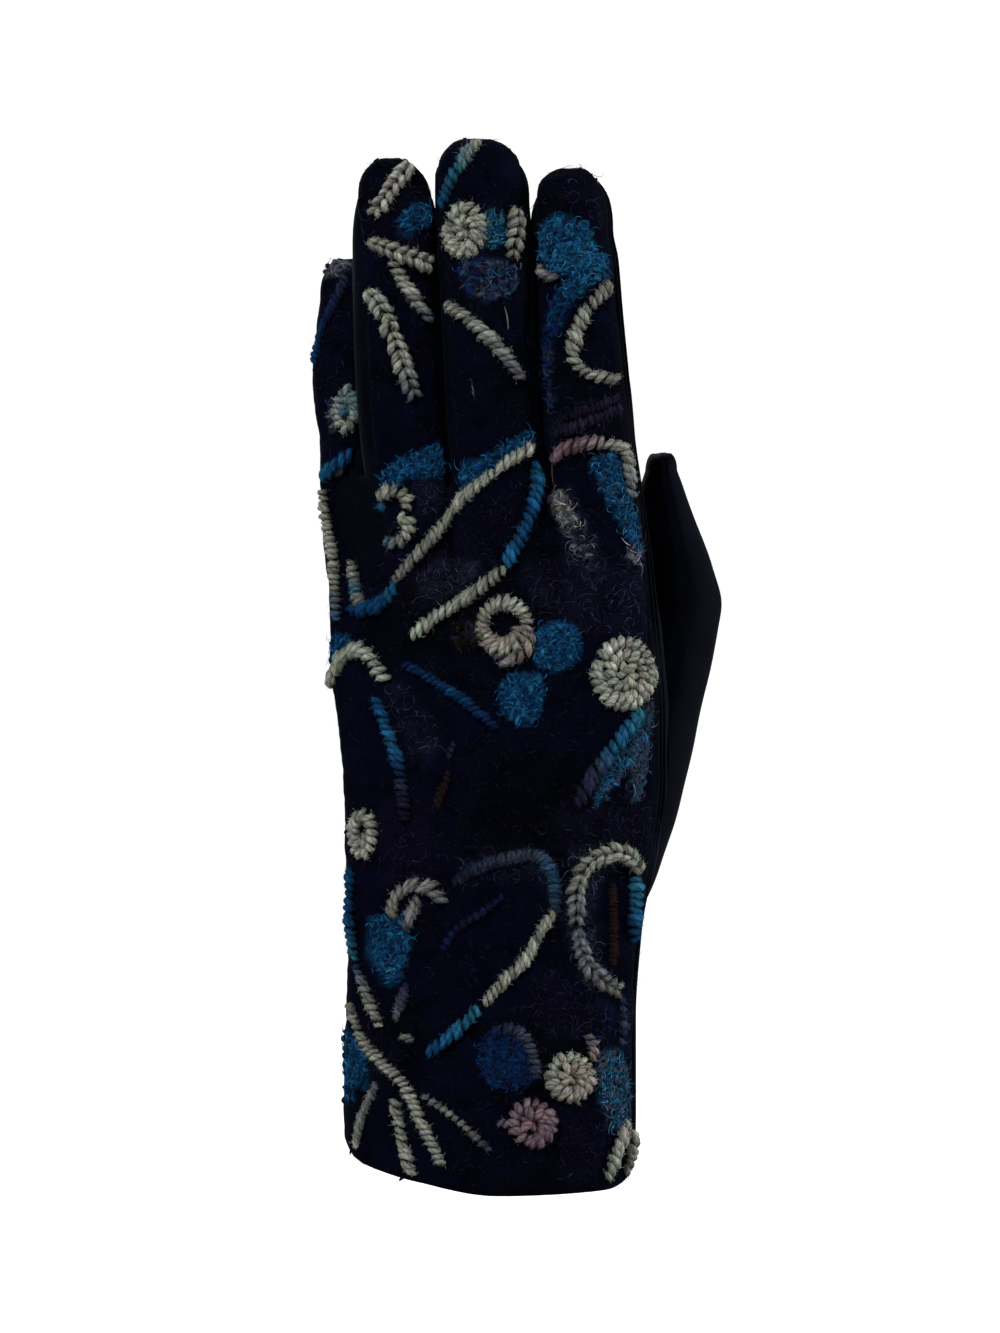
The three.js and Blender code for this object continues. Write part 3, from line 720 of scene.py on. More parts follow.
def felt_group() -> NodeTree:
    """Tangled wool fibres: a shade mask and a height, at a fibre scale."""
    tree = bpy.data.node_groups.new("felt fibres", "ShaderNodeTree")
    for label, way in (("Scale", "INPUT"), ("Clumps", "INPUT"), ("Shade", "OUTPUT"), ("Height", "OUTPUT")):
        tree.interface.new_socket(label, in_out=way, socket_type="NodeSocketFloat")
    nodes = Nodes(tree)
    given = nodes.add("NodeGroupInput")
    place = nodes.add("ShaderNodeTexCoord").outputs["Object"]
    bend = nodes.add("ShaderNodeTexNoise", {"Vector": place, "Scale": given.outputs["Clumps"]})
    warp = nodes.add(
        "ShaderNodeVectorMath",
        {0: bend.outputs["Color"], 1: (0.006, 0.006, 0.006)},
        operation="MULTIPLY",
    )
    bent = nodes.add("ShaderNodeVectorMath", {0: place, 1: warp.outputs[0]}, operation="ADD").outputs[0]
    fibres = nodes.add(
        "ShaderNodeTexNoise",
        {"Vector": bent, "Scale": given.outputs["Scale"], "Detail": 4.0, "Roughness": 0.7},
        noise_type="RIDGED_MULTIFRACTAL",
    ).outputs["Fac"]
    clumps = nodes.add(
        "ShaderNodeTexNoise", {"Vector": place, "Scale": given.outputs["Clumps"], "Detail": 3.0}
    ).outputs["Fac"]
    fine = nodes.ramp(fibres, 0.2, 1.6)
    shade = nodes.math("MULTIPLY", nodes.ramp(clumps, 0.3, 0.75), 0.5)
    shade = nodes.math("ADD", shade, nodes.math("MULTIPLY", fine, 0.5))
    height = nodes.math("ADD", fine, nodes.math("MULTIPLY", clumps, 1.5))
    nodes.add("NodeGroupOutput", {"Shade": shade, "Height": height})
    return tree


class Finish:
    """A cloth finish made as a node material."""

    name = "finish"
    roughness = 0.9
    gloss = 0.12
    sheen = 0.0
    sheen_roughness = 0.4
    sheen_tint = (1.0, 1.0, 1.0, 1.0)

    def __init__(self, felt: NodeTree) -> None:
        """Builds the material.

        Args:
            felt: The shared fibre group.
        """
        self.material = bpy.data.materials.new(self.name)
        self.material.use_nodes = True
        tree = self.material.node_tree
        self.nodes = Nodes(tree)
        self.surface = tree.nodes["Principled BSDF"]
        look = {
            "Roughness": self.roughness,
            "Specular IOR Level": self.gloss,
            "Sheen Weight": self.sheen,
            "Sheen Roughness": self.sheen_roughness,
            "Sheen Tint": self.sheen_tint,
        }
        for label, value in look.items():
            self.surface.inputs[label].default_value = value
        self.felt = felt
        self.paint()

    def place_felt(self, scale: float, clumps: float) -> Node:
        """Adds the shared fibre group with this finish's values."""
        node = self.nodes.add("ShaderNodeGroup", node_tree=self.felt)
        node.inputs["Scale"].default_value = scale
        node.inputs["Clumps"].default_value = clumps
        return node

    def connect(self, colour: NodeSocket, height: NodeSocket, depth: float) -> None:
        """Joins the colour and the bump to the surface.

        Args:
            colour: The base colour.
            height: The bump's height.
            depth: The bump's distance in metres.
        """
        link = self.nodes.tree.links.new
        link(colour, self.surface.inputs["Base Color"])
        bump = self.nodes.add("ShaderNodeBump", {"Height": height, "Distance": depth, "Strength": 1.0})
        link(bump.outputs["Normal"], self.surface.inputs["Normal"])

    def tint(self) -> NodeSocket:
        """The colour that is stored on the mesh."""
        node = self.nodes.add("ShaderNodeAttribute", attribute_name="tint")
        return node.outputs["Color"]

    def shaded(self, shade: NodeSocket, dark: tuple, light: tuple) -> NodeSocket:
        """The stored colour times one tone where a mask is 0, and another where it is 1."""
        base = self.tint()
        tones = (self.nodes.mix(1.0, base, (*tone, 1), "MULTIPLY") for tone in (dark, light))
        return self.nodes.mix(shade, *tones)

    def paint(self) -> None:
        """Builds the colour and relief; each finish has its own."""
        raise NotImplementedError


class FeltedWool(Finish):
    """Boiled wool: dark ground with mottled, tangled fibres."""

    name = "felted wool"
    roughness = 0.95
    gloss = 0.02
    sheen = 0.008
    sheen_roughness = 0.5
    sheen_tint = (0.4, 0.5, 0.9, 1.0)

    def paint(self) -> None:
        """Mixes the stored ground colour with lighter and darker fibres."""
        felt = self.place_felt(1100.0, 190.0).outputs
        colour = self.shaded(felt["Shade"], (0.25, 0.25, 0.3), (1.7, 1.7, 1.7))
        self.connect(colour, felt["Height"], 0.0006)


class BlackVelour(Finish):
    """Black velour with a short nap that catches the light at its folds."""

    name = "black velour"
    roughness = 0.75
    gloss = 0.03
    sheen = 0.042
    sheen_roughness = 0.35
    sheen_tint = (0.6, 0.75, 0.8, 1.0)

    def paint(self) -> None:
        """Gives the nap a faint unevenness."""
        felt = self.place_felt(2600.0, 90.0).outputs
        colour = self.nodes.mix(felt["Shade"], (0.0001, 0.0006, 0.0026, 1), (0.0011, 0.0034, 0.0096, 1))
        self.connect(colour, felt["Height"], 0.00025)


class SpunYarn(Finish):
    """Space-dyed wool yarn with its plies twisted along each stitch."""

    name = "spun yarn"
    roughness = 0.95
    gloss = 0.04
    sheen = 0.012
    sheen_roughness = 0.5

    def paint(self) -> None:
        """Draws the plies and the fibres over the stored dye, with painted shade in the grooves between the
        plies and the fibre streaks lighter where they stand higher.
        """
        nodes = self.nodes
        phase = nodes.add("ShaderNodeAttribute", attribute_name="ply").outputs["Fac"]
        felt = self.place_felt(2200.0, 700.0).outputs
        ply = self.wave(phase, 1.0)
        stray = nodes.math("MULTIPLY", felt["Height"], 0.45)
        streaks = self.wave(nodes.math("ADD", phase, stray), 4.0)
        # Painted shade: the yarn is darker in the grooves between its plies and lighter on their crests; the
        # streaks are lighter where they stand higher, and the mottle is the fibres' own uneven tone.
        painted_groove_shade = nodes.math("MULTIPLY", nodes.ramp(ply, 0, 0.5), 0.3)
        fibres = nodes.math("MULTIPLY", streaks, 0.3)
        mottle = nodes.math("MULTIPLY", nodes.ramp(felt["Shade"], 0.25, 0.7), 0.4)
        shade = nodes.math("ADD", nodes.math("ADD", painted_groove_shade, fibres), mottle)
        height = nodes.math("ADD", nodes.math("ADD", ply, streaks), felt["Height"])
        self.connect(self.shaded(shade, (0.2, 0.2, 0.24), (1.35, 1.35, 1.33)), height, 0.0003)

    def wave(self, phase: NodeSocket, rate: float) -> NodeSocket:
        """A smooth wave from 0 to 1 along a phase."""
        turned = self.nodes.math("MULTIPLY", phase, math.tau * rate)
        return self.nodes.ramp(self.nodes.math("SINE", turned), -1, 1)


class LooseFibre(Finish):
    """Single wool hairs, lighter along some of their length."""

    name = "loose fibre"
    roughness = 0.9
    gloss = 0.04
    sheen = 0.01

    def paint(self) -> None:
        """Varies the stored dye a little along each hair."""
        felt = self.place_felt(3000.0, 700.0).outputs
        self.connect(self.shaded(felt["Shade"], (1, 1, 1), (1.3, 1.3, 1.3)), felt["Height"], 0.00005)


def linear(red: int, green: int, blue: int) -> Array:
    """A screen colour from 0 to 255 as a linear one."""
    value = np.array([red, green, blue]) / 255
    return np.where(value <= 0.04045, value / 12.92, ((value + 0.055) / 1.055) ** 2.4)


class Dye(Enum):
    """The yarn's and the wool's colours."""

    CHALK = (246, 245, 234)
    CREAM = (216, 220, 202)
    IVORY = (180, 183, 169)
    PINK = (160, 134, 144)
    BEIGE = (184, 171, 156)
    GREY = (146, 150, 162)
    DOVE = (88, 98, 118)
    SLATE = (60, 71, 100)
    TEAL = (60, 142, 166)
    BLUE = (20, 90, 146)
    SKY = (44, 128, 178)
    ROYAL = (24, 48, 104)
    COBALT = (16, 72, 130)
    STEEL = (62, 110, 146)
    NAVY = (5, 8, 26)
    INK = (3, 8, 12)
    PURPLE = (24, 17, 42)
    PLUM = (64, 53, 82)
    VIOLET = (44, 42, 74)
    BROWN = (50, 36, 40)

    @property
    def rgb(self) -> Array:
        """The dye as a linear colour."""
        return linear(*self.value)


(
    CHALK, CREAM, IVORY, PINK, BEIGE, GREY, DOVE, SLATE, TEAL, BLUE, SKY,
    ROYAL, COBALT, STEEL, NAVY, INK, PURPLE, PLUM, VIOLET, BROWN,
) = Dye


@dataclass(frozen=True)
class Camera:
    """The photograph's viewpoint and its scale at the glove."""

    scale: float = MM_PER_PIXEL
    middle_px: float = 492.5
    hem_px: float = 1190.0
    frame_px: tuple[int, int] = (1000, 1333)
    distance: float = 1500.0
    sensor: float = 36.0

    @property
    def eye(self) -> Vector:
        """The camera's place, in millimetres."""
        x, z = self.plane(self.frame_px[0] / 2, self.frame_px[1] / 2)
        return Vector((x, -self.distance, z))

    def plane(self, px: float, py: float) -> Pair:
        """The place on the plane through the glove that a pixel of the photograph shows."""
        return (px - self.middle_px) * self.scale, (self.hem_px - py) * self.scale

    def build(self) -> None:
        """Makes the scene's camera."""
        data = bpy.data.cameras.new("camera")
        data.sensor_fit = "AUTO"
        data.sensor_width = self.sensor
        data.lens = self.sensor * self.distance / (self.frame_px[1] * self.scale)
        data.clip_start = 0.1
        data.clip_end = 20
        camera = bpy.data.objects.new("camera", data)
        camera.location = self.eye * MM
        camera.rotation_euler = (math.pi / 2, 0, 0)
        show(camera)
        bpy.context.scene.camera = camera


class Fabric:
    """The back's outer face, that yarn is laid on."""

    def __init__(self, points: Array, normals: Array, faces: list, camera: Camera) -> None:
        """Builds the search tree.

        Args:
            points: The face's points in millimetres.
            normals: Their normals.
            faces: Its faces.
            camera: Whose pixels the stitches are placed by.
        """
        self.points = points
        self.normals = normals
        self.faces = faces
        self.camera = camera
        self.tree = BVHTree.FromPolygons([Vector(p) for p in points], faces)

    def drop(self, px: float, py: float) -> tuple[Array, Array] | None:
        """Where a pixel of the photograph meets the cloth.

        Args:
            px: Pixels from the photograph's left.
            py: Pixels from its top.

        Returns:
            The point and its normal, or None off the cloth.
        """
        x, z = self.camera.plane(px, py)
        eye = self.camera.eye
        hit, _, face, _ = self.tree.ray_cast(eye, Vector((x, 0, z)) - eye)
        if hit is None:
            return None
        return np.array(hit), self.smooth_normal(np.array(hit), face)

    def smooth_normal(self, place: Array, face: int) -> Array:
        """The normal at a place on a face, weighted from its corners."""
        corners = list(self.faces[face])
        near = 1 / (np.linalg.norm(self.points[corners] - place, axis=1) + 0.05)
        return unit((self.normals[corners] * near[:, None]).sum(axis=0))



    def spots(self, patch: "Patch") -> Iterator[tuple[Array, Array]]:
        """The places on the cloth where an area's knots go, with their normals."""
        for px, py in patch.cells():
            found = self.drop(px, py)
            if found is not None:
                yield found

    def trace(self, path: Array) -> list[tuple[Array, Array]]:
        """Drops a line of pixels on the cloth, cut where it leaves it or jumps in depth.

        Args:
            path: Pixels in order.

        Returns:
            Runs of points and normals.
        """
        runs, points, normals = [], [], []
        for px, py in path:
            found = self.drop(px, py)
            jumps = found is not None and points and np.linalg.norm(found[0] - points[-1]) > 3.0
            if found is None or jumps:
                if len(points) > 2:
                    runs.append((np.array(points), np.array(normals)))
                points, normals = [], []
            if found is not None:
                points.append(found[0])
                normals.append(found[1])
        if len(points) > 2:
            runs.append((np.array(points), np.array(normals)))
        return runs


def curve(points: list[Pair], closed: bool = False, steps: int = 10) -> Array:
    """A smooth line through pixels.

    Args:
        points: The pixels that it passes.
        closed: True if its end meets its start.
        steps: Samples between two of them.

    Returns:
        The line's samples.
    """
    given = np.array(points, float)
    if closed:
        padded = np.vstack([given[-1], given, given[0], given[1]])
    else:
        padded = np.vstack([2 * given[0] - given[1], given, 2 * given[-1] - given[-2]])
    line = []
    for a, b, c, d in zip(padded, padded[1:], padded[2:], padded[3:], strict=False):
        for t in np.arange(steps) / steps:
            line.append(
                0.5 * (2 * b + (c - a) * t + (2 * a - 5 * b + 4 * c - d) * t**2)
                + 0.5 * (3 * b - a - 3 * c + d) * t**3
            )
    line.append(padded[-2])
    return np.array(line)


class Twist(Enum):
    """How stitches lie on a cord: slant, then spacing, length and half thickness in widths."""

    ROPE = (54.0, 0.5, 1.16, 0.235)
    WRAP = (78.0, 0.42, 1.04, 0.22)
    COIL = (72.0, 0.51, 1.0, 0.255)
    DOTS = (52.0, 0.78, 0.95, 0.32)
    CHAIN = (32.0, 0.54, 0.84, 0.19)


ROPE, WRAP, COIL, DOTS, CHAIN = Twist


@dataclass
class Cord:
    """A line of rope stitches through the photograph's pixels."""

    path: list[Pair]
    width: float
    dyes: tuple[Dye, ...]
    twist: Twist = Twist.ROPE
    fuzz: float = 1.0

    def line(self) -> Array:
        """The cord's line in pixels."""
        return curve(self.path) if len(self.path) > 2 else np.linspace(*np.array(self.path, float), 16)


@dataclass
class Rosette:
    """A cord wound in a flat spiral from its centre."""

    centre: Pair
    across: Pair
    width: float
    dyes: tuple[Dye, ...]
    twist: Twist = Twist.COIL
    fuzz: float = 1.0
    hollow: float = 0.12
    lean: float = 0.0

    def line(self) -> Array:
        """The spiral's line in pixels."""
        half = np.array(self.across) / 2 - self.width / MM_PER_PIXEL / 2
        grown = (1 - self.hollow) * half.mean() * MM_PER_PIXEL / (self.width * 0.74)
        turns = grown + 0.8
        t = np.linspace(0, 1, int(60 * turns))
        radius = self.hollow + (1 - self.hollow) * np.minimum(t * turns / max(grown, 0.1), 1)
        angle = math.tau * turns * t + self.lean
        ring = np.column_stack([np.cos(angle), np.sin(angle)]) * radius[:, None]
        return np.array(self.centre) + ring * half


@dataclass
class Patch:
    """An area filled with short knotty stitches."""

    outline: list[Pair]
    dyes: tuple[Dye, ...]
    size: float = 2.3
    spacing: float = 1.15
    fuzz: float = 1.0
    height: float = 1.0
    thickness: float = 0.5
    tint: float = 0.8

    def cells(self) -> Array:
        """Pixels spread over the area on an uneven grid."""
        edge = curve(self.outline, closed=True)
        low, high = edge.min(axis=0), edge.max(axis=0)
        step = self.spacing / MM_PER_PIXEL
        xs = np.arange(low[0], high[0], step)
        ys = np.arange(low[1], high[1], step * 0.87)
        grid = np.array([(x + (j % 2) * step / 2, y) for j, y in enumerate(ys) for x in xs])
        if not len(grid):
            return grid.reshape(0, 2)
        grid += RNG.normal(0, step * 0.16, grid.shape)
        return grid[inside(grid, edge)]


def depth_inside(places: Array, edge: Array) -> Array:
    """How far inside a closed line places lie, less than 0 outside."""
    ahead = np.roll(edge, -1, axis=0)
    span = ahead - edge
    least = np.full(len(places), np.inf)
    for start, way in zip(edge, span, strict=True):
        t = np.clip(((places - start) @ way) / max(way @ way, 1e-9), 0, 1)
        least = np.minimum(least, np.linalg.norm(places - start - t[:, None] * way, axis=1))
    return np.where(inside(places, edge), least, -least)


def inside(places: Array, edge: Array) -> Array:
    """Which places lie inside a closed line."""
    found = np.zeros(len(places), bool)
    ahead = np.roll(edge, -1, axis=0)
    for (ax, ay), (bx, by) in zip(edge, ahead, strict=True):
        crosses = (ay > places[:, 1]) != (by > places[:, 1])
        if ay != by:
            at = ax + (places[:, 1] - ay) * (bx - ax) / (by - ay)
            found ^= crosses & (places[:, 0] < at)
    return found


def gathered(rows: list[NamedTuple], name: str) -> Array:
    """One field of every row."""
    return np.array([getattr(row, name) for row in rows])


def place_meshes(per: int, count: int, faces: list) -> list[tuple[int, ...]]:
    """The faces of a small mesh repeated, each copy with its own points."""
    return [tuple(v + n * per for v in face) for n in range(count) for face in faces]


class Stitch(NamedTuple):
    """A stitch; its size is its length, half thickness, half height and arch."""

    centre: Array
    axis: Array
    normal: Array
    size: tuple[float, float, float, float]
    colour: Array
    fuzz: float


@dataclass
class Yarn:
    """Stitches as one mesh, each with a number of rings and of sides."""

    name: str
    sides: int
    rings: int

    def mesh(self, stitches: list[Stitch], finish: Material) -> Object:
        """Makes the piece.

        Args:
            stitches: The stitches.
            finish: The yarn's material.

        Returns:
            The piece.
        """
        sides, rings = self.sides, self.rings
        centre, axis, normal = (gathered(stitches, part) for part in ("centre", "axis", "normal"))
        axis = unit(axis)
        normal = unit(normal - axis * (normal * axis).sum(-1, keepdims=True))
        across = np.cross(axis, normal)
        length, thick, high, arch = (gathered(stitches, "size")[:, k, None, None, None] for k in range(4))
        along = (1 - np.cos(np.linspace(0, math.pi, rings + 2)[1:-1])) / 2
        turn = np.arange(sides) * math.tau / sides - math.pi / 2
        radius = np.sin(math.pi * along) ** 0.5
        t = along[None, :, None, None]
        r = radius[None, :, None, None]
        cos, sin = (f(turn)[None, None, :, None] for f in (np.cos, np.sin))
        count = len(centre)
        shift = RNG.random(count)[:, None]
        u = np.tile(np.arange(sides) / sides, rings)
        v = np.repeat(along, sides)
        phase = 3 * u[None] + 1.6 * v[None] + shift
        if sides > 9:
            r = r * (1 + 0.1 * np.cos(math.tau * phase)).reshape(count, rings, sides, 1)
        r = r * (1 + RNG.normal(0, 0.055, (count, rings, sides, 1)))
        middle = 1 - (2 * t - 1) ** 2
        bend = RNG.normal(0, 0.06, count)[:, None, None, None] * length
        place = centre[:, None, None] + axis[:, None, None] * (t - 0.5) * length
        place = place + normal[:, None, None] * (arch * middle + r * high * sin)
        place = place + across[:, None, None] * (bend * middle + r * thick * cos)
        reach = axis * length[:, 0, 0] / 2
        ends = np.stack([centre - reach, centre + reach], 1)
        points = np.concatenate([place.reshape(count, -1, 3), ends], 1)
        per = rings * sides + 2
        top = (rings - 1) * sides
        faces = band_faces(rings, sides, turned=True)
        faces += [(per - 2, i, (i + 1) % sides) for i in range(sides)]
        faces += [(per - 1, top + (i + 1) % sides, top + i) for i in range(sides)]
        every = place_meshes(per, count, faces)
        piece = make_object(self.name, points.reshape(-1, 3), every, finish)
        # Painted shade: each stitch is darker on its underside towards the cloth and towards its tapered
        # ends, and darkest at its two end points, where the gaps between stitches fall in shade.
        low = np.tile(0.6 + 0.4 * np.sin(turn), rings)
        shade = np.concatenate([np.repeat(0.25 + 0.8 * radius, sides) * low, [0.2, 0.2]])
        colour = gathered(stitches, "colour")[:, None] * shade[None, :, None]
        store_tint(piece, colour.reshape(-1, 3))
        phase = np.concatenate([phase, shift, shift], 1)
        attribute = piece.data.attributes.new("ply", "FLOAT", "POINT")
        attribute.data.foreach_set("value", phase.ravel())
        return piece


def store_tint(piece: Object, colours: Array) -> None:
    """Stores a colour at each point of a mesh."""
    rgba = np.ones((len(colours), 4), np.float32)
    rgba[:, :3] = colours
    attribute = piece.data.attributes.new("tint", "FLOAT_COLOR", "POINT")
    attribute.data.foreach_set("color", rgba.ravel())


def blended(dyes: tuple[Dye, ...], share: float) -> Array:
    """The colour at a share of the way through a row of dyes."""
    place = min(max(share, 0), 1) * (len(dyes) - 1)
    low = min(int(place), len(dyes) - 1)
    high = min(low + 1, len(dyes) - 1)
    return dyes[low].rgb + (dyes[high].rgb - dyes[low].rgb) * (place - low)


def uneven(colour: Array, amount: float) -> Array:
    """A colour a little lighter or darker, as hand-dyed wool is."""
    return colour * math.exp(RNG.normal(0, amount)) * np.exp(RNG.normal(0, amount * 0.18, 3))


def pick(dyes: tuple) -> object:
    """One of some dyes at random."""
    return dyes[int(RNG.integers(len(dyes)))]


def any_way(normal: Array, lean: float = 0.0) -> Array:
    """A random way along the cloth, leaning off it by a share of its normal."""
    return unit(np.cross(normal, RNG.normal(size=3)) + normal * lean)


def between(at: float, steps: Array, values: Array) -> Array:
    """A point or a normal at a length along a line."""
    return np.array([np.interp(at, steps, values[:, k]) for k in range(3)])


@dataclass
class Embroidery:
    """Everything stitched on the back of the hand."""

    cloth: Fabric
    cords: list[Stitch] = field(default_factory=list)
    knots: list[Stitch] = field(default_factory=list)
    tangle: list[Stitch] = field(default_factory=list)

    def sew_cord(self, cord: Cord | Rosette) -> None:
        """Lays slanted stitches along a cord.

        Args:
            cord: The line that they follow.
        """
        chain = cord.twist is Twist.CHAIN
        rows = (-1, 1) if chain else (0,)
        runs = self.cloth.trace(cord.line())
        lengths = [np.linalg.norm(np.diff(points, axis=0), axis=1).sum() for points, _ in runs]
        total, done = sum(lengths), 0.0
        slant, spacing, long, thick = cord.twist.value
        pitch = spacing * cord.width
        start = RNG.uniform(0, math.tau)
        for (points, normals), length in zip(runs, lengths, strict=True):
            steps = np.concatenate([[0], np.cumsum(np.linalg.norm(np.diff(points, axis=0), axis=1))])
            count = max(2, round(length / pitch))
            for k in range(count):
                at = (k + 0.5) / count * length + RNG.normal(0, pitch * 0.05)
                place = between(at, steps, points)
                normal = unit(between(at, steps, normals))
                way = unit(between(at + 0.6, steps, points) - between(at - 0.6, steps, points))
                side = unit(np.cross(normal, way))
                end = min(done + at, total - done - at)
                swell = 0.78 + 0.24 * smoothstep(end, 0, 3.0) + 0.08 * math.sin((done + at) / 2.7 + start)
                for row in rows:
                    angle = math.radians(slant) * (row if chain else 1) + RNG.normal(0, 0.1)
                    axis = way * math.cos(angle) + side * math.sin(angle)
                    width = cord.width * swell * (1 + RNG.normal(0, 0.08))
                    size = (width * long, width * thick, width * 0.33, width * 0.18)
                    colour = uneven(blended(cord.dyes, (done + at) / max(total, 1)), 0.2)
                    centre = place + normal * width * 0.12 + side * width * 0.23 * row
                    self.cords.append(Stitch(centre, axis, normal, size, colour, cord.fuzz))
            done += length

    def lay_thread(self, start: Pair, end: Pair, dye: Dye) -> None:
        """Lays one stray thread between two pixels of the photograph."""
        found = [self.cloth.drop(*place) for place in (start, end)]
        if None in found:
            return
        (low, normal), (high, _) = found
        size = (float(np.linalg.norm(high - low)), 0.16, 0.16, 0.1)
        centre = (low + high) / 2 + normal * 0.25
        self.cords.append(Stitch(centre, high - low, normal, size, dye.rgb, 0.3))

    def sew_patch(self, patch: Patch) -> None:
        """Fills an area with knots that run every way.

        Args:
            patch: The area.
        """
        for place, normal in self.cloth.spots(patch):
            way = any_way(normal)
            length = patch.size * (1 + RNG.normal(0, 0.18))
            thick = patch.thickness * (1 + RNG.normal(0, 0.12))
            size = (length, thick, thick * patch.height, 0.5 * thick)
            # Painted shade: the knots are painted darker than their dye, so that they read as shaded under
            # the brighter strands laid over them.
            colour = uneven(pick(patch.dyes).rgb * 0.75, 0.36)
            lift = (0.55 * RNG.random() - 0.15) * thick
            self.knots.append(Stitch(place + normal * lift, way, normal, size, colour, patch.fuzz))

    def scatter(self, count: int) -> None:
        """Works low dark curls into the whole ground.

        Args:
            count: How many.
        """
        shades = (NAVY.rgb, INK.rgb, PURPLE.rgb * 0.4, VIOLET.rgb * 0.2)
        facing = (self.cloth.normals[:, 1] < -0.3) & (self.cloth.points[:, 2] > 3)
        for v in RNG.choice(np.flatnonzero(facing), count):
            normal = self.cloth.normals[v]
            way = any_way(normal)
            colour = uneven(pick(shades) * 1.2, 0.3)
            size = (1.7 + 0.9 * RNG.random(), 0.42, 0.24, 0.06)
            self.tangle.append(Stitch(self.cloth.points[v] - normal * 0.06, way, normal, size, colour, 0.5))


class Hair(NamedTuple):
    """A hair: its root, its first way, the cloth's normal there and its make."""

    root: Array
    way: Array
    normal: Array
    length: float
    radius: float
    colour: Array


@dataclass
class Fibres:
    """Fine curved hairs as one mesh, each of some straight joints, curled off or along the cloth."""

    name: str
    joints: int
    flat: bool = False
    hairs: list[Hair] = field(default_factory=list)

    def mesh(self, finish: Material) -> Object:
        """Makes the piece.

        Args:
            finish: The hairs' material.

        Returns:
            The piece.
        """
        count, joints = len(self.hairs), self.joints
        root, way, normal = (gathered(self.hairs, part) for part in ("root", "way", "normal"))
        way = unit(way)
        step = (gathered(self.hairs, "length") / joints)[:, None]
        curl = unit(np.cross(way, RNG.normal(size=(count, 3)))) * 0.55
        bend = RNG.choice([-1, 1], (count, 1)) * RNG.uniform(0.25, 1.2, (count, 1))
        line, heading = [root], way
        for _ in range(joints):
            if self.flat:
                heading = unit(heading + np.cross(normal, heading) * bend)
                bend = bend * RNG.uniform(0.7, 1.15, (count, 1))
            else:
                heading = unit(heading + curl - normal * 0.22 * (heading * normal).sum(-1, keepdims=True))
                curl = curl * 0.75 + unit(np.cross(heading, curl)) * 0.3
            line.append(line[-1] + heading * step)
        side = unit(np.cross(way, normal) + 1e-4)
        other = unit(np.cross(way, side))
        corner = np.arange(3) * math.tau / 3
        cos, sin = (f(corner)[None, :, None] for f in (np.cos, np.sin))
        spread = (cos * side[:, None] + sin * other[:, None]) * gathered(self.hairs, "radius")[:, None, None]
        rings = [line[j][:, None] + spread * (1 - 0.45 * j / joints) for j in range(joints)]
        points = np.concatenate([*rings, line[-1][:, None]], 1)
        per = joints * 3 + 1
        faces = [(2, 1, 0), *band_faces(joints, 3)]
        faces += [(per - 4 + i, per - 4 + (i + 1) % 3, per - 1) for i in range(3)]
        piece = make_object(self.name, points.reshape(-1, 3), place_meshes(per, count, faces), finish)
        store_tint(piece, np.repeat(gathered(self.hairs, "colour"), per, axis=0))
        return piece


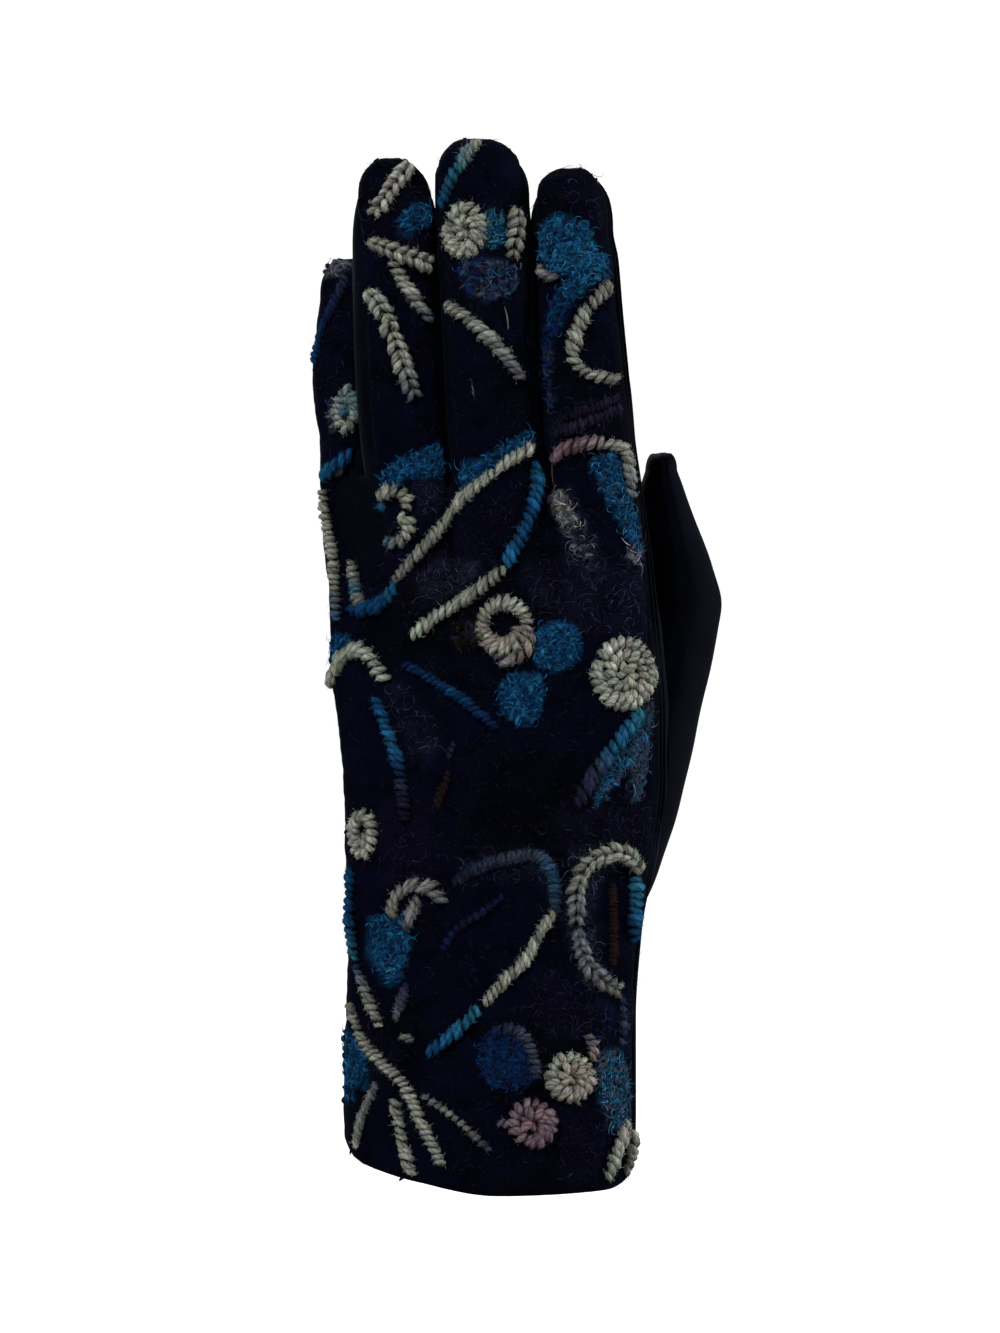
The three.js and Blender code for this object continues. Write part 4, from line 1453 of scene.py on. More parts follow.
CREAMS = (CREAM, CREAM)
MOTIFS: list[Cord | Rosette] = [
    # Ring finger
    Cord([(409, 167), (394, 187), (374, 217)], 4.0, (CHALK, CHALK, CREAM), CHAIN, 1.4),
    Cord([(370, 241), (390, 250), (412, 258), (433, 268)], 4.4, CREAMS, CHAIN),
    Cord([(392, 262), (408, 290), (429, 322)], 3.6, (IVORY, CREAM, GREY)),
    Cord([(370, 291), (384, 312), (395, 340), (404, 370), (415, 399)], 4.4, (CREAM, CREAM, GREY), CHAIN),
    # Middle finger
    Cord([(479, 143), (464, 160), (452, 182), (442, 206)], 3.4, (CREAM, TEAL, BLUE), fuzz=1.4),
    Rosette((465, 231), (48, 60), 3.2, CREAMS),
    Cord([(513, 209), (514, 232), (511, 259)], 4.2, (IVORY, CREAM), CHAIN),
    Cord([(449, 304), (475, 325), (500, 350), (520, 380)], 3.6, (CREAM, IVORY, GREY)),
    # Index finger
    Cord([(611, 284), (590, 306), (576, 335), (574, 360), (590, 374), (624, 382)], 3.6, (IVORY, CREAM)),
    Cord([(554, 459), (566, 449), (592, 443), (616, 446), (625, 456), (628, 475), (630, 496)], 3.6,
         (PINK, PINK, CREAM, GREY)),
    Cord([(556, 434), (590, 421), (627, 404)], 2.8, (VIOLET, PLUM, VIOLET), WRAP),
    Cord([(562, 420), (592, 409), (624, 394)], 2.4, (PURPLE, PLUM), WRAP),
    Cord([(538, 262), (546, 274), (556, 280)], 3.2, (IVORY, GREY)),
    # First petal
    Cord([(536, 445), (505, 463), (462, 501), (425, 545), (394, 581)], 2.9, (CREAM, CREAM, IVORY)),
    Cord([(392, 540), (380, 560), (370, 596)], 2.2, (VIOLET, PLUM, VIOLET), WRAP),
    Cord([(397, 586), (383, 603), (361, 611), (352, 606)], 3.6, (SKY, BLUE, BLUE), fuzz=1.6),
    Cord([(535, 463), (534, 495), (520, 538), (504, 564)], 3.5, (SKY, BLUE, SKY), fuzz=1.6),
    Cord([(506, 568), (470, 596), (440, 614), (411, 636)], 3.3, (IVORY, CREAM, CREAM)),
    # Small rosette at the ring finger's root
    Cord([(379, 499), (386, 492), (398, 491), (408, 500), (406, 510)], 3.6, (IVORY, CREAM), COIL),
    Cord([(398, 516), (408, 520), (407, 534), (396, 543), (384, 538), (379, 528)], 3.6,
         (CREAM, CREAM, IVORY, TEAL), COIL),
    Cord([(381, 524), (382, 512), (384, 504)], 3.0, (TEAL, BLUE, TEAL), WRAP),
    # Little finger
    Cord([(346, 277), (334, 305), (322, 334), (315, 363)], 2.6, (SLATE, ROYAL, BLUE)),
    Rosette((347, 410), (30, 52), 3.0, (TEAL, CREAM, TEAL)),
    Cord([(354, 452), (340, 463), (324, 477)], 3.6, (BLUE, SKY), fuzz=1.5),
    # Far edge of the hand
    Cord([(325, 490), (327, 512), (331, 535), (335, 560), (337, 590), (338, 622)], 3.4,
         (IVORY, CREAM, CREAM, IVORY, BLUE), WRAP),
    Cord([(337, 530), (348, 548), (355, 573), (360, 598), (368, 612)], 3.4,
         (CREAM, IVORY, TEAL, IVORY, TEAL), WRAP),
    Cord([(331, 685), (342, 662), (356, 650), (368, 656), (387, 681)], 4.0, CREAMS),
    # Centre
    Rosette((504, 626), (60, 62), 3.4, (BEIGE, CREAM, BEIGE), WRAP, hollow=0.66),
    Cord([(533, 634), (524, 652), (508, 661), (497, 654)], 3.4, (BEIGE, BEIGE, GREY)),
    Rosette((623, 674), (68, 78), 3.5, CREAMS, COIL, hollow=0.08, lean=2.2),
    Cord([(640, 712), (618, 742), (596, 772), (575, 806)], 3.8, (TEAL, SKY, SLATE, VIOLET)),
    Cord([(405, 664), (436, 682), (468, 704), (497, 729)], 2.6, (ROYAL, BLUE, ROYAL)),
    Cord([(376, 698), (385, 722), (395, 750), (401, 776)], 3.2, (BLUE, SKY, ROYAL), fuzz=1.5),
    Cord([(401, 778), (404, 800), (406, 822)], 3.6, (SLATE, VIOLET, PURPLE), WRAP),
    Cord([(449, 770), (444, 788), (437, 808)], 2.0, (BROWN, BROWN), DOTS),
    Cord([(441, 786), (436, 806)], 1.8, (BROWN, BROWN), DOTS),
    Cord([(454, 742), (449, 758)], 1.8, (SLATE, VIOLET), DOTS),
    # Far-side rosette and the cord under it
    Rosette((364, 834), (34, 56), 3.4, CREAMS, hollow=0.4),
    Cord([(353, 868), (352, 900), (353, 930), (357, 962)], 3.4, (BLUE, BLUE, TEAL)),
    # Hook
    Cord([(392, 918), (396, 898), (412, 886), (430, 888), (443, 904)], 3.8, (IVORY, IVORY, GREY)),
    Cord([(420, 898), (412, 914), (404, 928)], 3.4, (IVORY, GREY)),
    # Second petal
    Cord([(453, 884), (476, 869), (505, 859), (538, 856), (553, 878), (556, 914)], 2.8,
         (VIOLET, SLATE, DOVE, STEEL, SLATE), WRAP, 2.4),
    Cord([(554, 914), (540, 932), (527, 958), (505, 980), (484, 1004)], 3.0, (CREAM, CREAM, IVORY)),
    Cord([(480, 1008), (460, 1028), (427, 1054)], 3.5, (TEAL, SKY, BLUE)),
    Cord([(504, 895), (480, 914), (456, 930), (442, 951)], 2.2, (ROYAL, VIOLET, ROYAL), DOTS),
    # Loop on the thumb side
    Cord([(638, 873), (630, 858), (612, 853), (588, 864), (576, 892), (575, 925)], 4.2,
         (IVORY, CREAM, IVORY, GREY), CHAIN, 2.2),
    Cord([(576, 930), (584, 960), (602, 982), (619, 991)], 4.0, (GREY, GREY, IVORY), CHAIN, 2.2),
    Cord([(620, 996), (622, 1020), (620, 1046)], 2.6, (SLATE, SLATE), DOTS),
    Cord([(634, 876), (634, 905), (632, 930), (634, 946)], 4.2, (TEAL, SKY, BLUE), WRAP),
    Cord([(612, 884), (613, 925), (612, 966)], 2.2, (BROWN, BROWN), WRAP),
    # Three rosettes near the hem
    Cord([(492, 1033), (510, 1029), (524, 1036), (533, 1056), (537, 1080)], 3.0,
         (ROYAL, SLATE, DOVE, DOVE, SLATE), WRAP),
    Rosette((569, 1077), (54, 54), 3.3, (BEIGE, CREAM, BEIGE), hollow=0.1),
    Cord([(587, 1034), (593, 1046), (590, 1060)], 3.0, (GREY, BEIGE)),
    Rosette((532, 1123), (52, 54), 3.6, (PINK, PINK), hollow=0.1),
    Cord([(498, 1122), (510, 1124)], 2.4, (GREY, PINK)),
    Cord([(626, 1122), (616, 1150), (606, 1180)], 3.6, CREAMS),
    Cord([(630, 1130), (629, 1155), (624, 1174)], 3.4, (CREAM, IVORY)),
    # Star at the lower corner
    Cord([(351, 1003), (364, 1040), (384, 1064), (405, 1086), (420, 1118), (442, 1165)], 3.0,
         (IVORY, CREAM, CREAM)),
    Cord([(396, 1100), (402, 1135), (412, 1174)], 3.2, (IVORY, CREAM)),
    Cord([(378, 1083), (364, 1115), (357, 1146)], 2.5, (GREY, CREAM), ROPE),
    Cord([(423, 1095), (456, 1119), (490, 1151)], 2.2, (GREY, IVORY, SLATE), DOTS),
    Cord([(357, 964), (368, 994), (381, 1028)], 3.0, (BLUE, IVORY, CREAM)),
    Cord([(408, 985), (402, 1002), (395, 1020)], 2.6, (ROYAL, GREY)),
    Cord([(404, 1034), (412, 1044)], 3.2, (IVORY, GREY)),
]
THREADS = (
    ((504, 306), (508, 331), CREAM),
    ((554, 456), (556, 491), PINK),
    ((472, 384), (474, 394), GREY),
)
BLUES = (BLUE, BLUE, SKY)
SKIES = (SKY, SKY, BLUE)
DUSKS = (PURPLE, PURPLE, VIOLET)
PATCHES: list[Patch] = [
    Patch([(400, 218), (418, 204), (430, 208), (430, 222), (415, 229), (402, 231)], BLUES),
    Patch([(484, 214), (504, 218), (506, 240), (488, 246)], (TEAL, TEAL, BLUE)),
    Patch([(462, 264), (500, 260), (516, 270), (512, 292), (490, 300), (468, 290)],
          (ROYAL, COBALT, STEEL, VIOLET, DOVE)),
    Patch([(540, 228), (560, 218), (584, 226), (594, 244), (590, 262), (570, 274), (548, 268), (538, 250)],
          SKIES),
    Patch([(580, 262), (600, 254), (612, 258), (610, 272), (592, 284), (572, 300), (562, 290)], SKIES),
    Patch([(562, 288), (580, 284), (570, 308), (552, 340), (546, 330), (552, 306)], (BLUE, ROYAL)),
    Patch([(542, 344), (552, 346), (552, 380), (556, 404), (548, 404), (540, 376)], (SLATE, ROYAL)),
    Patch([(462, 468), (490, 454), (534, 430), (536, 444), (500, 462), (464, 490)], BLUES),
    Patch([(380, 484), (390, 466), (415, 454), (446, 443), (448, 472), (430, 473), (408, 478), (394, 486)],
          BLUES),
    Patch(
          [(592, 460), (616, 456), (624, 480), (634, 506), (644, 535), (642, 552), (632, 545), (614, 512),
           (600, 484)],
          (BLUE, SKY, STEEL, BLUE)),
    Patch([(626, 545), (640, 542), (646, 560), (634, 564)], (GREY, SLATE)),
    Patch([(550, 496), (562, 494), (574, 512), (578, 526), (566, 530), (556, 514)], (IVORY, GREY)),
    Patch([(566, 530), (580, 526), (592, 556), (580, 560)], (SLATE, VIOLET, GREY)),
    Patch([(540, 628), (576, 628), (577, 662), (540, 668)], BLUES),
    Patch([(504, 678), (530, 674), (543, 680), (540, 712), (528, 724), (504, 712)], BLUES),
    Patch([(638, 712), (652, 704), (648, 740), (642, 790), (632, 800), (630, 760)], (STEEL, SLATE, DOVE)),
    Patch([(328, 640), (344, 636), (352, 648), (336, 662), (328, 660)], BLUES),
    Patch([(373, 922), (400, 920), (410, 936), (404, 968), (392, 986), (378, 966)], BLUES),
    Patch([(344, 1030), (354, 1040), (366, 1056), (366, 1076), (352, 1096), (344, 1100)], BLUES),
    Patch([(598, 1056), (622, 1056), (630, 1120), (614, 1128), (600, 1098)], (STEEL, SKY, DOVE)),
    Patch([(482, 1040), (500, 1030), (522, 1040), (532, 1078), (508, 1086), (484, 1080)], (ROYAL, COBALT)),
    Patch([(324, 262), (334, 258), (346, 262), (347, 270), (334, 275), (325, 274)], (GREY, SLATE, GREY)),
    Patch([(330, 404), (338, 402), (340, 420), (332, 430)], (SLATE, GREY)),
    Patch([(342, 468), (352, 468), (354, 480), (344, 480)], (PINK, CREAM), size=1.8),
    Patch([(340, 490), (350, 488), (350, 500), (342, 500)], (GREY, SLATE), size=1.8),
    Patch([(452, 626), (482, 622), (486, 640), (460, 650)], (BROWN, SLATE, BROWN, INK)),
    Patch([(642, 716), (648, 734), (630, 762), (602, 802), (594, 796), (614, 756)], (STEEL, SKY, SLATE)),
]


@dataclass
class Haze:
    """An area of the ground where darker dyed wool is felted in, as tangled hairs."""

    outline: list[Pair]
    dyes: tuple[Dye, ...]
    density: float = 1.0

    def patch(self, spacing: float) -> Patch:
        """The area as small low knots, this many millimetres apart where the density is 1."""
        step = spacing / math.sqrt(self.density)
        return Patch(self.outline, self.dyes, 1.7, step, fuzz=0.5, height=0.8, thickness=0.3)


GREYS = (DOVE, SLATE, VIOLET, SLATE)
DIMS = (SLATE, VIOLET, SLATE, NAVY)
HAZES: list[Haze] = [
    Haze([(372, 190), (400, 180), (433, 200), (433, 256), (372, 240)], DUSKS),
    Haze([(546, 190), (580, 176), (610, 196), (612, 230), (545, 232)], (PURPLE, VIOLET, INK), 0.8),
    Haze([(448, 252), (520, 252), (520, 300), (452, 300)], DUSKS, 0.6),
    Haze([(556, 412), (624, 398), (628, 414), (560, 440)], (VIOLET, SLATE, PURPLE), 1.3),
    Haze([(524, 480), (500, 560), (420, 610), (400, 590), (470, 520)], (PURPLE, VIOLET, NAVY), 1.1),
    Haze([(392, 500), (440, 470), (446, 490), (410, 540), (372, 600), (366, 590)], DUSKS, 0.7),
    Haze([(524, 570), (580, 560), (648, 566), (652, 636), (590, 636), (540, 604)], (*DUSKS, VIOLET, SLATE),
         1.1),
    Haze([(416, 576), (440, 560), (476, 564), (470, 590), (430, 600)], (DOVE, SLATE, PLUM), 1.2),
    Haze([(412, 488), (440, 478), (448, 500), (424, 514)], (SLATE, VIOLET, SLATE), 1.0),
    Haze([(562, 796), (600, 790), (648, 800), (650, 850), (600, 846), (566, 846)], (*DUSKS, VIOLET), 0.9),
    Haze([(386, 681), (408, 690), (440, 744), (420, 760), (396, 720)], (VIOLET, SLATE), 0.8),
    Haze([(380, 800), (430, 800), (436, 880), (384, 884)], DUSKS, 1.1),
    Haze([(450, 760), (520, 800), (540, 850), (460, 840)], (PURPLE, NAVY), 0.5),
    Haze([(540, 980), (576, 984), (600, 1030), (570, 1040), (530, 1020)], (VIOLET, PURPLE), 1.0),
    Haze([(352, 1010), (372, 1030), (400, 1050), (380, 1080), (360, 1060)], DUSKS, 1.2),
    Haze([(570, 1110), (610, 1130), (600, 1175), (560, 1170)], DUSKS, 0.8),
    Haze([(600, 996), (626, 1000), (628, 1060), (604, 1056)], (SLATE, ROYAL), 0.6),
    Haze([(564, 870), (600, 846), (616, 866), (592, 900), (604, 976), (620, 1000), (580, 976)], GREYS, 1.6),
    Haze([(462, 860), (536, 848), (562, 880), (562, 924), (544, 920), (538, 880), (470, 884)], DIMS, 0.8),
    Haze([(566, 494), (584, 520), (600, 566), (578, 566), (556, 520)], GREYS, 1.2),
    Haze([(318, 300), (352, 310), (350, 390), (314, 380)], (VIOLET, PURPLE, NAVY), 0.6),
]


@dataclass
class Glove:
    """The dressed glove and the finishes that it is made of."""

    wool_proud: float = 1.0
    wool_depth: float = 1.2
    velour_depth: float = 1.1
    hem_depth: float = 16.0
    thumb_seam_angle: float = 78.0
    # Each welt's share of the way across the index finger's palm side, and its radius
    welts: tuple[Pair, ...] = ((0.085, 0.34), (0.135, 0.42))
    fineness: float = 1.15

    def __post_init__(self) -> None:
        """Builds the form, the finishes and the camera."""
        self.form = GloveForm(self.fineness)
        felt = felt_group()
        self.wool = FeltedWool(felt).material
        self.velour = BlackVelour(felt).material
        self.yarn = SpunYarn(felt).material
        self.hair = LooseFibre(felt).material
        self.camera = Camera()
        self.thumb_form = TubeForm(THUMB, THUMB.sections.at_key[0], THUMB_SQUARENESS)

    def hand_vertex(self, sheet: Sheet, side: Side, index: int, row: int) -> int:
        """Adds a point of the hand's grid to a sheet."""
        i = self.form.ring_index(side, index)
        return sheet.add(("hand", row, i), self.form.points[row, i], self.form.normals[row, i])

    def panel(self, side: Side) -> Sheet:
        """The cloth on one side of the hand and up all four fingers.

        Args:
            side: The back or the palm.

        Returns:
            The sheet.
        """
        form, sheet = self.form, Sheet()
        columns = form.columns[side]
        top = len(form.ups) - 1
        first = form.cells[Side.BACK, "little"]
        for i in range(1, len(columns)):
            gusset = side is Side.BACK and first < i <= first + form.slot_cells
            last = form.gusset_row if gusset else top
            rows = [
                [self.hand_vertex(sheet, side, i - 1, j), self.hand_vertex(sheet, side, i, j)]
                for j in range(last + 1)
            ]
            sheet.grid(rows)
        for name in FINGER_NAMES:
            self.finger_panel(sheet, side, name, top)
        return sheet

    def finger_panel(self, sheet: Sheet, side: Side, name: str, top: int) -> None:
        """Adds one finger's cloth above the hand's last row."""
        form = self.form
        finger = form.fingers[name]
        own = [i for i, c in enumerate(form.columns[side]) if c.finger == name and not c.beyond]
        shares = np.array([form.columns[side][i].share for i in own])
        rises = form.rises(finger)
        grid_rise = np.repeat(rises[:, None], len(own), axis=1)
        degrees = finger.column(side, shares[None], grid_rise)
        points = finger.point(degrees, grid_rise)
        normals = finger.normal(degrees, grid_rise)
        rows = [[self.hand_vertex(sheet, side, i, top) for i in own]]
        for j in range(len(rises)):
            rows.append([sheet.add((name, j, i), points[j, k], normals[j, k]) for k, i in enumerate(own)])
        sheet.grid(rows)

    def rolled(self, sheet: Sheet, proud: float, dip: float, reach: float) -> Array:
        """How proud each point is where the cloth rolls down by a dip within reach of its seams."""
        near = np.clip(1 - sheet.border_distance() / reach, 0, 1)
        return proud - dip * near**2

    def hem_fold(self, sheet: Sheet) -> Array:
        """How much thicker each point is where the hem is turned up inside."""
        hem = {key[2]: sheet.points[v][2] for key, v in sheet.by_key.items() if key[:2] == ("hand", 0)}
        on_hand = np.array([key[0] == "hand" for key in sheet.by_key])
        base = np.array([hem.get(key[2], 0) if key[0] == "hand" else 0 for key in sheet.by_key])
        rise = np.array(sheet.points)[:, 2] - base
        return np.where(on_hand, 1 - smoothstep(rise, self.hem_depth - 1.2, self.hem_depth), 0)

    def build_back(self) -> None:
        """Makes the wool panel."""
        sheet = self.panel(Side.BACK)
        points = np.array(sheet.points)
        outer = self.rolled(sheet, self.wool_proud, 0.95, 2.0)
        outer = outer + 0.16 * lumps(points, 9, 1.0) + 0.11 * lumps(points, 3.2, 2.0)
        inner = self.wool_depth + 0.9 * self.hem_fold(sheet)
        both, faces = sheet.shell(outer, inner)
        piece = make_object("wool_back", both, faces, self.wool)
        sharpen(piece, 62)
        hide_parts("back_panel")
        count = len(points)
        self.cloth = Fabric(both[:count], np.array(sheet.normals), sheet.faces, self.camera)
        store_tint(piece, self.ground_colours(both))

    def ground_colours(self, points: Array) -> Array:
        """The wool's own dye at each point, with the darker felted areas."""
        colours = np.repeat(NAVY.rgb[None], len(points), axis=0)
        ink = smoothstep(lumps(points, 34, 5.0), -0.2, 0.9)[:, None]
        colours = colours + (INK.rgb - colours) * ink * 0.75
        eye = np.array(self.camera.eye)
        scale = self.camera.distance / (points[:, 1] - eye[1])
        px = (eye[0] + (points[:, 0] - eye[0]) * scale) / self.camera.scale + self.camera.middle_px
        py = self.camera.hem_px - (eye[2] + (points[:, 2] - eye[2]) * scale) / self.camera.scale
        seen = np.column_stack([px, py])
        ragged = 5 * lumps(points, 5, 8.0) + 4 * lumps(points, 2.2, 9.0)
        for area, reach, amount, glow in [
            *((haze, 7, 0.5 * min(haze.density, 1.1), 0.36) for haze in HAZES),
            *((patch, 1.5, patch.tint, 0.6) for patch in PATCHES),
        ]:
            edge = curve(area.outline, closed=True)
            depth = depth_inside(seen, edge) + ragged * reach / 9
            dye = np.mean([dye.rgb for dye in area.dyes], axis=0)
            share = min(amount, 1) * smoothstep(depth, -reach, reach)[:, None]
            colours = colours + (dye * glow - colours) * share
        return colours

    def build_palm(self) -> None:
        """Makes the palm velour, with the hole that the thumb is sewn into."""
        sheet = self.panel(Side.PALM)
        points = np.array(sheet.points)
        outer = self.rolled(sheet, 0.0, 0.45, 1.6)
        root = np.array(self.thumb_root)
        near = np.array([np.linalg.norm(root - p, axis=1).min() for p in points])
        outer = outer - 0.4 * np.clip(1 - near / 2.2, 0, 1) ** 2
        outer = outer + 0.22 * lumps(points, 17, 3.0)
        inner = self.velour_depth + 0.8 * self.hem_fold(sheet)
        both, faces = sheet.shell(outer, inner)
        piece = make_object("velour_palm", both, faces, self.velour)
        self.cut_thumb_hole(piece)
        sharpen(piece, 55)
        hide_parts("palm_panel")

    def cut_thumb_hole(self, piece: Object) -> None:
        """Cuts the palm where the thumb opens into the hand."""
        sides = 40
        turns = -np.arange(sides) * 360 / sides
        rises = np.concatenate([np.linspace(0, 1, 30), 1 + np.linspace(0.2, 0.9, 4)])
        inset = self.velour_depth + 0.15
        points = np.vstack([self.thumb_form.point(turns, np.full(sides, rise), inset) for rise in rises])
        faces = [tuple(range(sides))[::-1], tuple(range(len(points) - sides, len(points)))]
        faces += band_faces(len(rises), sides)
        mesh = bpy.data.meshes.new("thumb_hole")
        mesh.from_pydata((points * MM).tolist(), [], faces)
        cutter = bpy.data.objects.new("thumb_hole", mesh)
        show(cutter)
        cut = piece.modifiers.new("hole", "BOOLEAN")
        cut.operation = "DIFFERENCE"
        cut.solver = "EXACT"
        cut.object = cutter
        evaluated = piece.evaluated_get(bpy.context.evaluated_depsgraph_get())
        made = bpy.data.meshes.new_from_object(evaluated)
        piece.modifiers.clear()
        old = piece.data
        piece.data = made
        bpy.data.meshes.remove(old)
        bpy.data.objects.remove(cutter)

    def find_thumb_root(self) -> None:
        """Finds where each line along the thumb leaves the hand."""
        points = self.form.points
        faces = band_faces(*points.shape[:2])
        tree = BVHTree.FromPolygons([Vector(p) for p in points.reshape(-1, 3)], faces)
        self.thumb_turns = np.arange(56) * -360 / 56
        self.thumb_root = []
        steps = np.linspace(0.02, 0.8, 240)
        rises = []
        for degrees in self.thumb_turns:
            line = self.thumb_form.point(np.full(len(steps), degrees), steps)
            leaves = 0
            for k, point in enumerate(line):
                hit, normal, _, _ = tree.find_nearest(Vector(point))
                if (Vector(point) - hit).dot(normal) < 0.1:
                    leaves = k
            rises.append(steps[leaves])
            self.thumb_root.append(line[leaves])
        for _ in range(3):
            rises = (np.roll(rises, 1) + np.multiply(rises, 2) + np.roll(rises, -1)) / 4
        self.thumb_rises = rises

    def build_welt(self) -> None:
        """Makes the two stitched ridges along the thumb side, beside the wool."""
        form = self.form
        cells = form.cells[Side.PALM, "index"]
        finger = form.fingers["index"]
        rises = form.rises(finger)
        rises = rises[rises < 1.72]
        for number, (place, radius) in enumerate(self.welts):
            low = int(place * cells)
            part = place * cells - low
            a, b = (form.ring_index(Side.PALM, low + k) for k in (0, 1))
            path = form.points[:, a] + (form.points[:, b] - form.points[:, a]) * part
            out = unit(form.normals[:, a] + (form.normals[:, b] - form.normals[:, a]) * part)
            degrees = finger.column(Side.PALM, place, rises)
            path = np.vstack([path, finger.point(degrees, rises)])
            out = np.vstack([out, finger.normal(degrees, rises)])
            piece = self.ridge(f"velour_welt_{number + 1}", path, out, radius)

    def ridge(self, name: str, path: Array, out: Array, radius: float) -> Object:
        """Makes a cord of cloth half sunk in the velour.

        Args:
            name: The piece's name.
            path: Its line on the cloth.
            out: The cloth's normals along it.
            radius: Its radius.

        Returns:
            The piece.
        """
        sides = 8
        along = unit(np.gradient(path, axis=0))
        across = unit(np.cross(along, out))
        turn = np.arange(sides) * math.tau / sides
        count = len(path)
        taper = np.clip(np.minimum(np.arange(count), np.arange(count)[::-1]) / 4, 0.15, 1)
        ring = np.cos(turn)[None, :, None] * across[:, None] + np.sin(turn)[None, :, None] * out[:, None]
        centre = path + out * radius * 0.1
        points = centre[:, None] + ring * (radius * taper)[:, None, None]
        faces = [tuple(range(sides)), tuple(range((count - 1) * sides, count * sides))[::-1]]
        faces += band_faces(count, sides, turned=True)
        return make_object(name, points.reshape(-1, 3), faces, self.velour)

    def build_thumb(self) -> None:
        """Makes the thumb's tube from the hand's face to its closed end."""
        sheet = Sheet()
        count = len(self.thumb_turns)
        rows = []
        shares = np.concatenate([np.linspace(0, 1, 70) ** 1.05, 1 + np.arange(1, CAP_ROWS + 1) / CAP_ROWS])
        for j, share in enumerate(shares):
            start = self.thumb_rises
            rise = start + (1 - start) * share if share <= 1 else np.full(count, share)
            points = self.thumb_form.point(self.thumb_turns, rise)
            normals = self.thumb_form.normal(self.thumb_turns, rise)
            if j == len(shares) - 1:
                tip = sheet.add(("tip",), points.mean(axis=0), np.array([0, 0, 1.0]))
                rows.append([tip] * (count + 1))
                continue
            row = [sheet.add((j, i), points[i], normals[i]) for i in range(count)]
            rows.append([*row, row[0]])
        sheet.grid(rows)
        points = np.array(sheet.points)
        outer = self.rolled(sheet, 0.0, 0.35, 1.6) + 0.14 * lumps(points, 15, 7.0)
        turn = np.array([self.thumb_turns[key[1]] if len(key) > 1 else 0 for key in sheet.by_key])
        seam = (turn + 360 - self.thumb_seam_angle) / 5.0
        outer = outer + 0.3 * np.exp(-((seam / 4) ** 2)) - 0.35 * np.exp(-(seam**2))
        both, faces = sheet.shell(outer, np.full(len(points), self.velour_depth))
        piece = make_object("velour_thumb", both, faces, self.velour)
        sharpen(piece, 60)
        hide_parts("thumb")

    def strip_run(self, sheet: Sheet, name: str, right: bool) -> list[list[int]]:
        """One run of a side strip up a finger."""
        finger = self.form.fingers[name]
        edges = ("back_right", "palm_right") if right else ("back_left", "palm_left")
        turn = 0 if right else 360
        rises = self.form.rises(finger)
        rises = np.concatenate([[0], rises[rises <= STRIP_END + 1e-6]])
        cells = 12
        across = np.arange(cells + 1) / cells
        lift = (WEB_RISE + 0.6) * np.sin(across * math.pi)
        start = finger.rise(CROTCH_Z + lift)
        rows = []
        for j, full in enumerate(rises):
            rise = start + (STRIP_END - start) * full / STRIP_END
            low = finger.edge(edges[0], rise)
            degrees = low + (finger.edge(edges[1], rise) + turn - low) * across
            points, normals = finger.point(degrees, rise), finger.normal(degrees, rise)
            if j == len(rises) - 1:
                tip = sheet.add((name, "point"), points[0], normals[0])
                rows.append([tip] * (cells + 1))
                continue
            rows.append([sheet.add((name, j, i), points[i], normals[i]) for i in range(cells + 1)])
        return rows

    def strip(self, left_name: str, right_name: str) -> Sheet:
        """The strip between two fingers and the web that joins its runs."""
        sheet = Sheet()
        left = self.strip_run(sheet, left_name, True)
        right = self.strip_run(sheet, right_name, False)
        cells = len(left[0]) - 1
        web = [left[0]]
        for k in range(1, self.form.slot_cells):
            row = []
            for i in range(cells + 1):
                a, b = sheet.points[left[0][i]], sheet.points[right[0][i]]
                point = a + (b - a) * k / self.form.slot_cells
                turn = i / cells * math.pi
                point[2] = CROTCH_Z + WEB_RISE * math.sin(turn)
                way = np.array([0, -math.cos(turn), math.sin(turn)])
                row.append(sheet.add(("web", k, i), point, way))
            web.append(row)
        web.append(right[0])
        sheet.grid(left)
        sheet.grid(web[::-1])
        sheet.grid(right[::-1])
        return sheet

    def add_gusset(self, sheet: Sheet) -> None:
        """Adds the tongue that fills the notch below the little and ring fingers."""
        form = self.form
        first = form.cells[Side.BACK, "little"]
        across = range(first, first + form.slot_cells + 1)
        rows = [
            [self.hand_vertex(sheet, Side.BACK, i, j) for i in across]
            for j in range(form.gusset_row, len(form.ups) - 1)
        ]
        keys = [("little", 0, 0), *(("web", k, 0) for k in range(1, form.slot_cells)), ("ring", 0, 0)]
        rows.append([sheet.by_key[key] for key in keys])
        sheet.grid(rows)

    def build_strips(self) -> None:
        """Makes the three side strips."""
        for left, right in zip(FINGER_NAMES, FINGER_NAMES[1:], strict=False):
            sheet = self.strip(left, right)
            if left == "little":
                self.add_gusset(sheet)
            puff = 0.0 if left == "little" else 0.75
            outer = self.rolled(sheet, puff, 0.4 + puff, 3.4)
            both, faces = sheet.shell(outer, np.full(len(outer), self.velour_depth))
            both = self.press(sheet, both, left, right)
            piece = make_object(f"velour_strip_{left}_{right}", both, faces, self.velour)
            sharpen(piece, 55)
            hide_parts(f"fourchette_{left}_{right}")

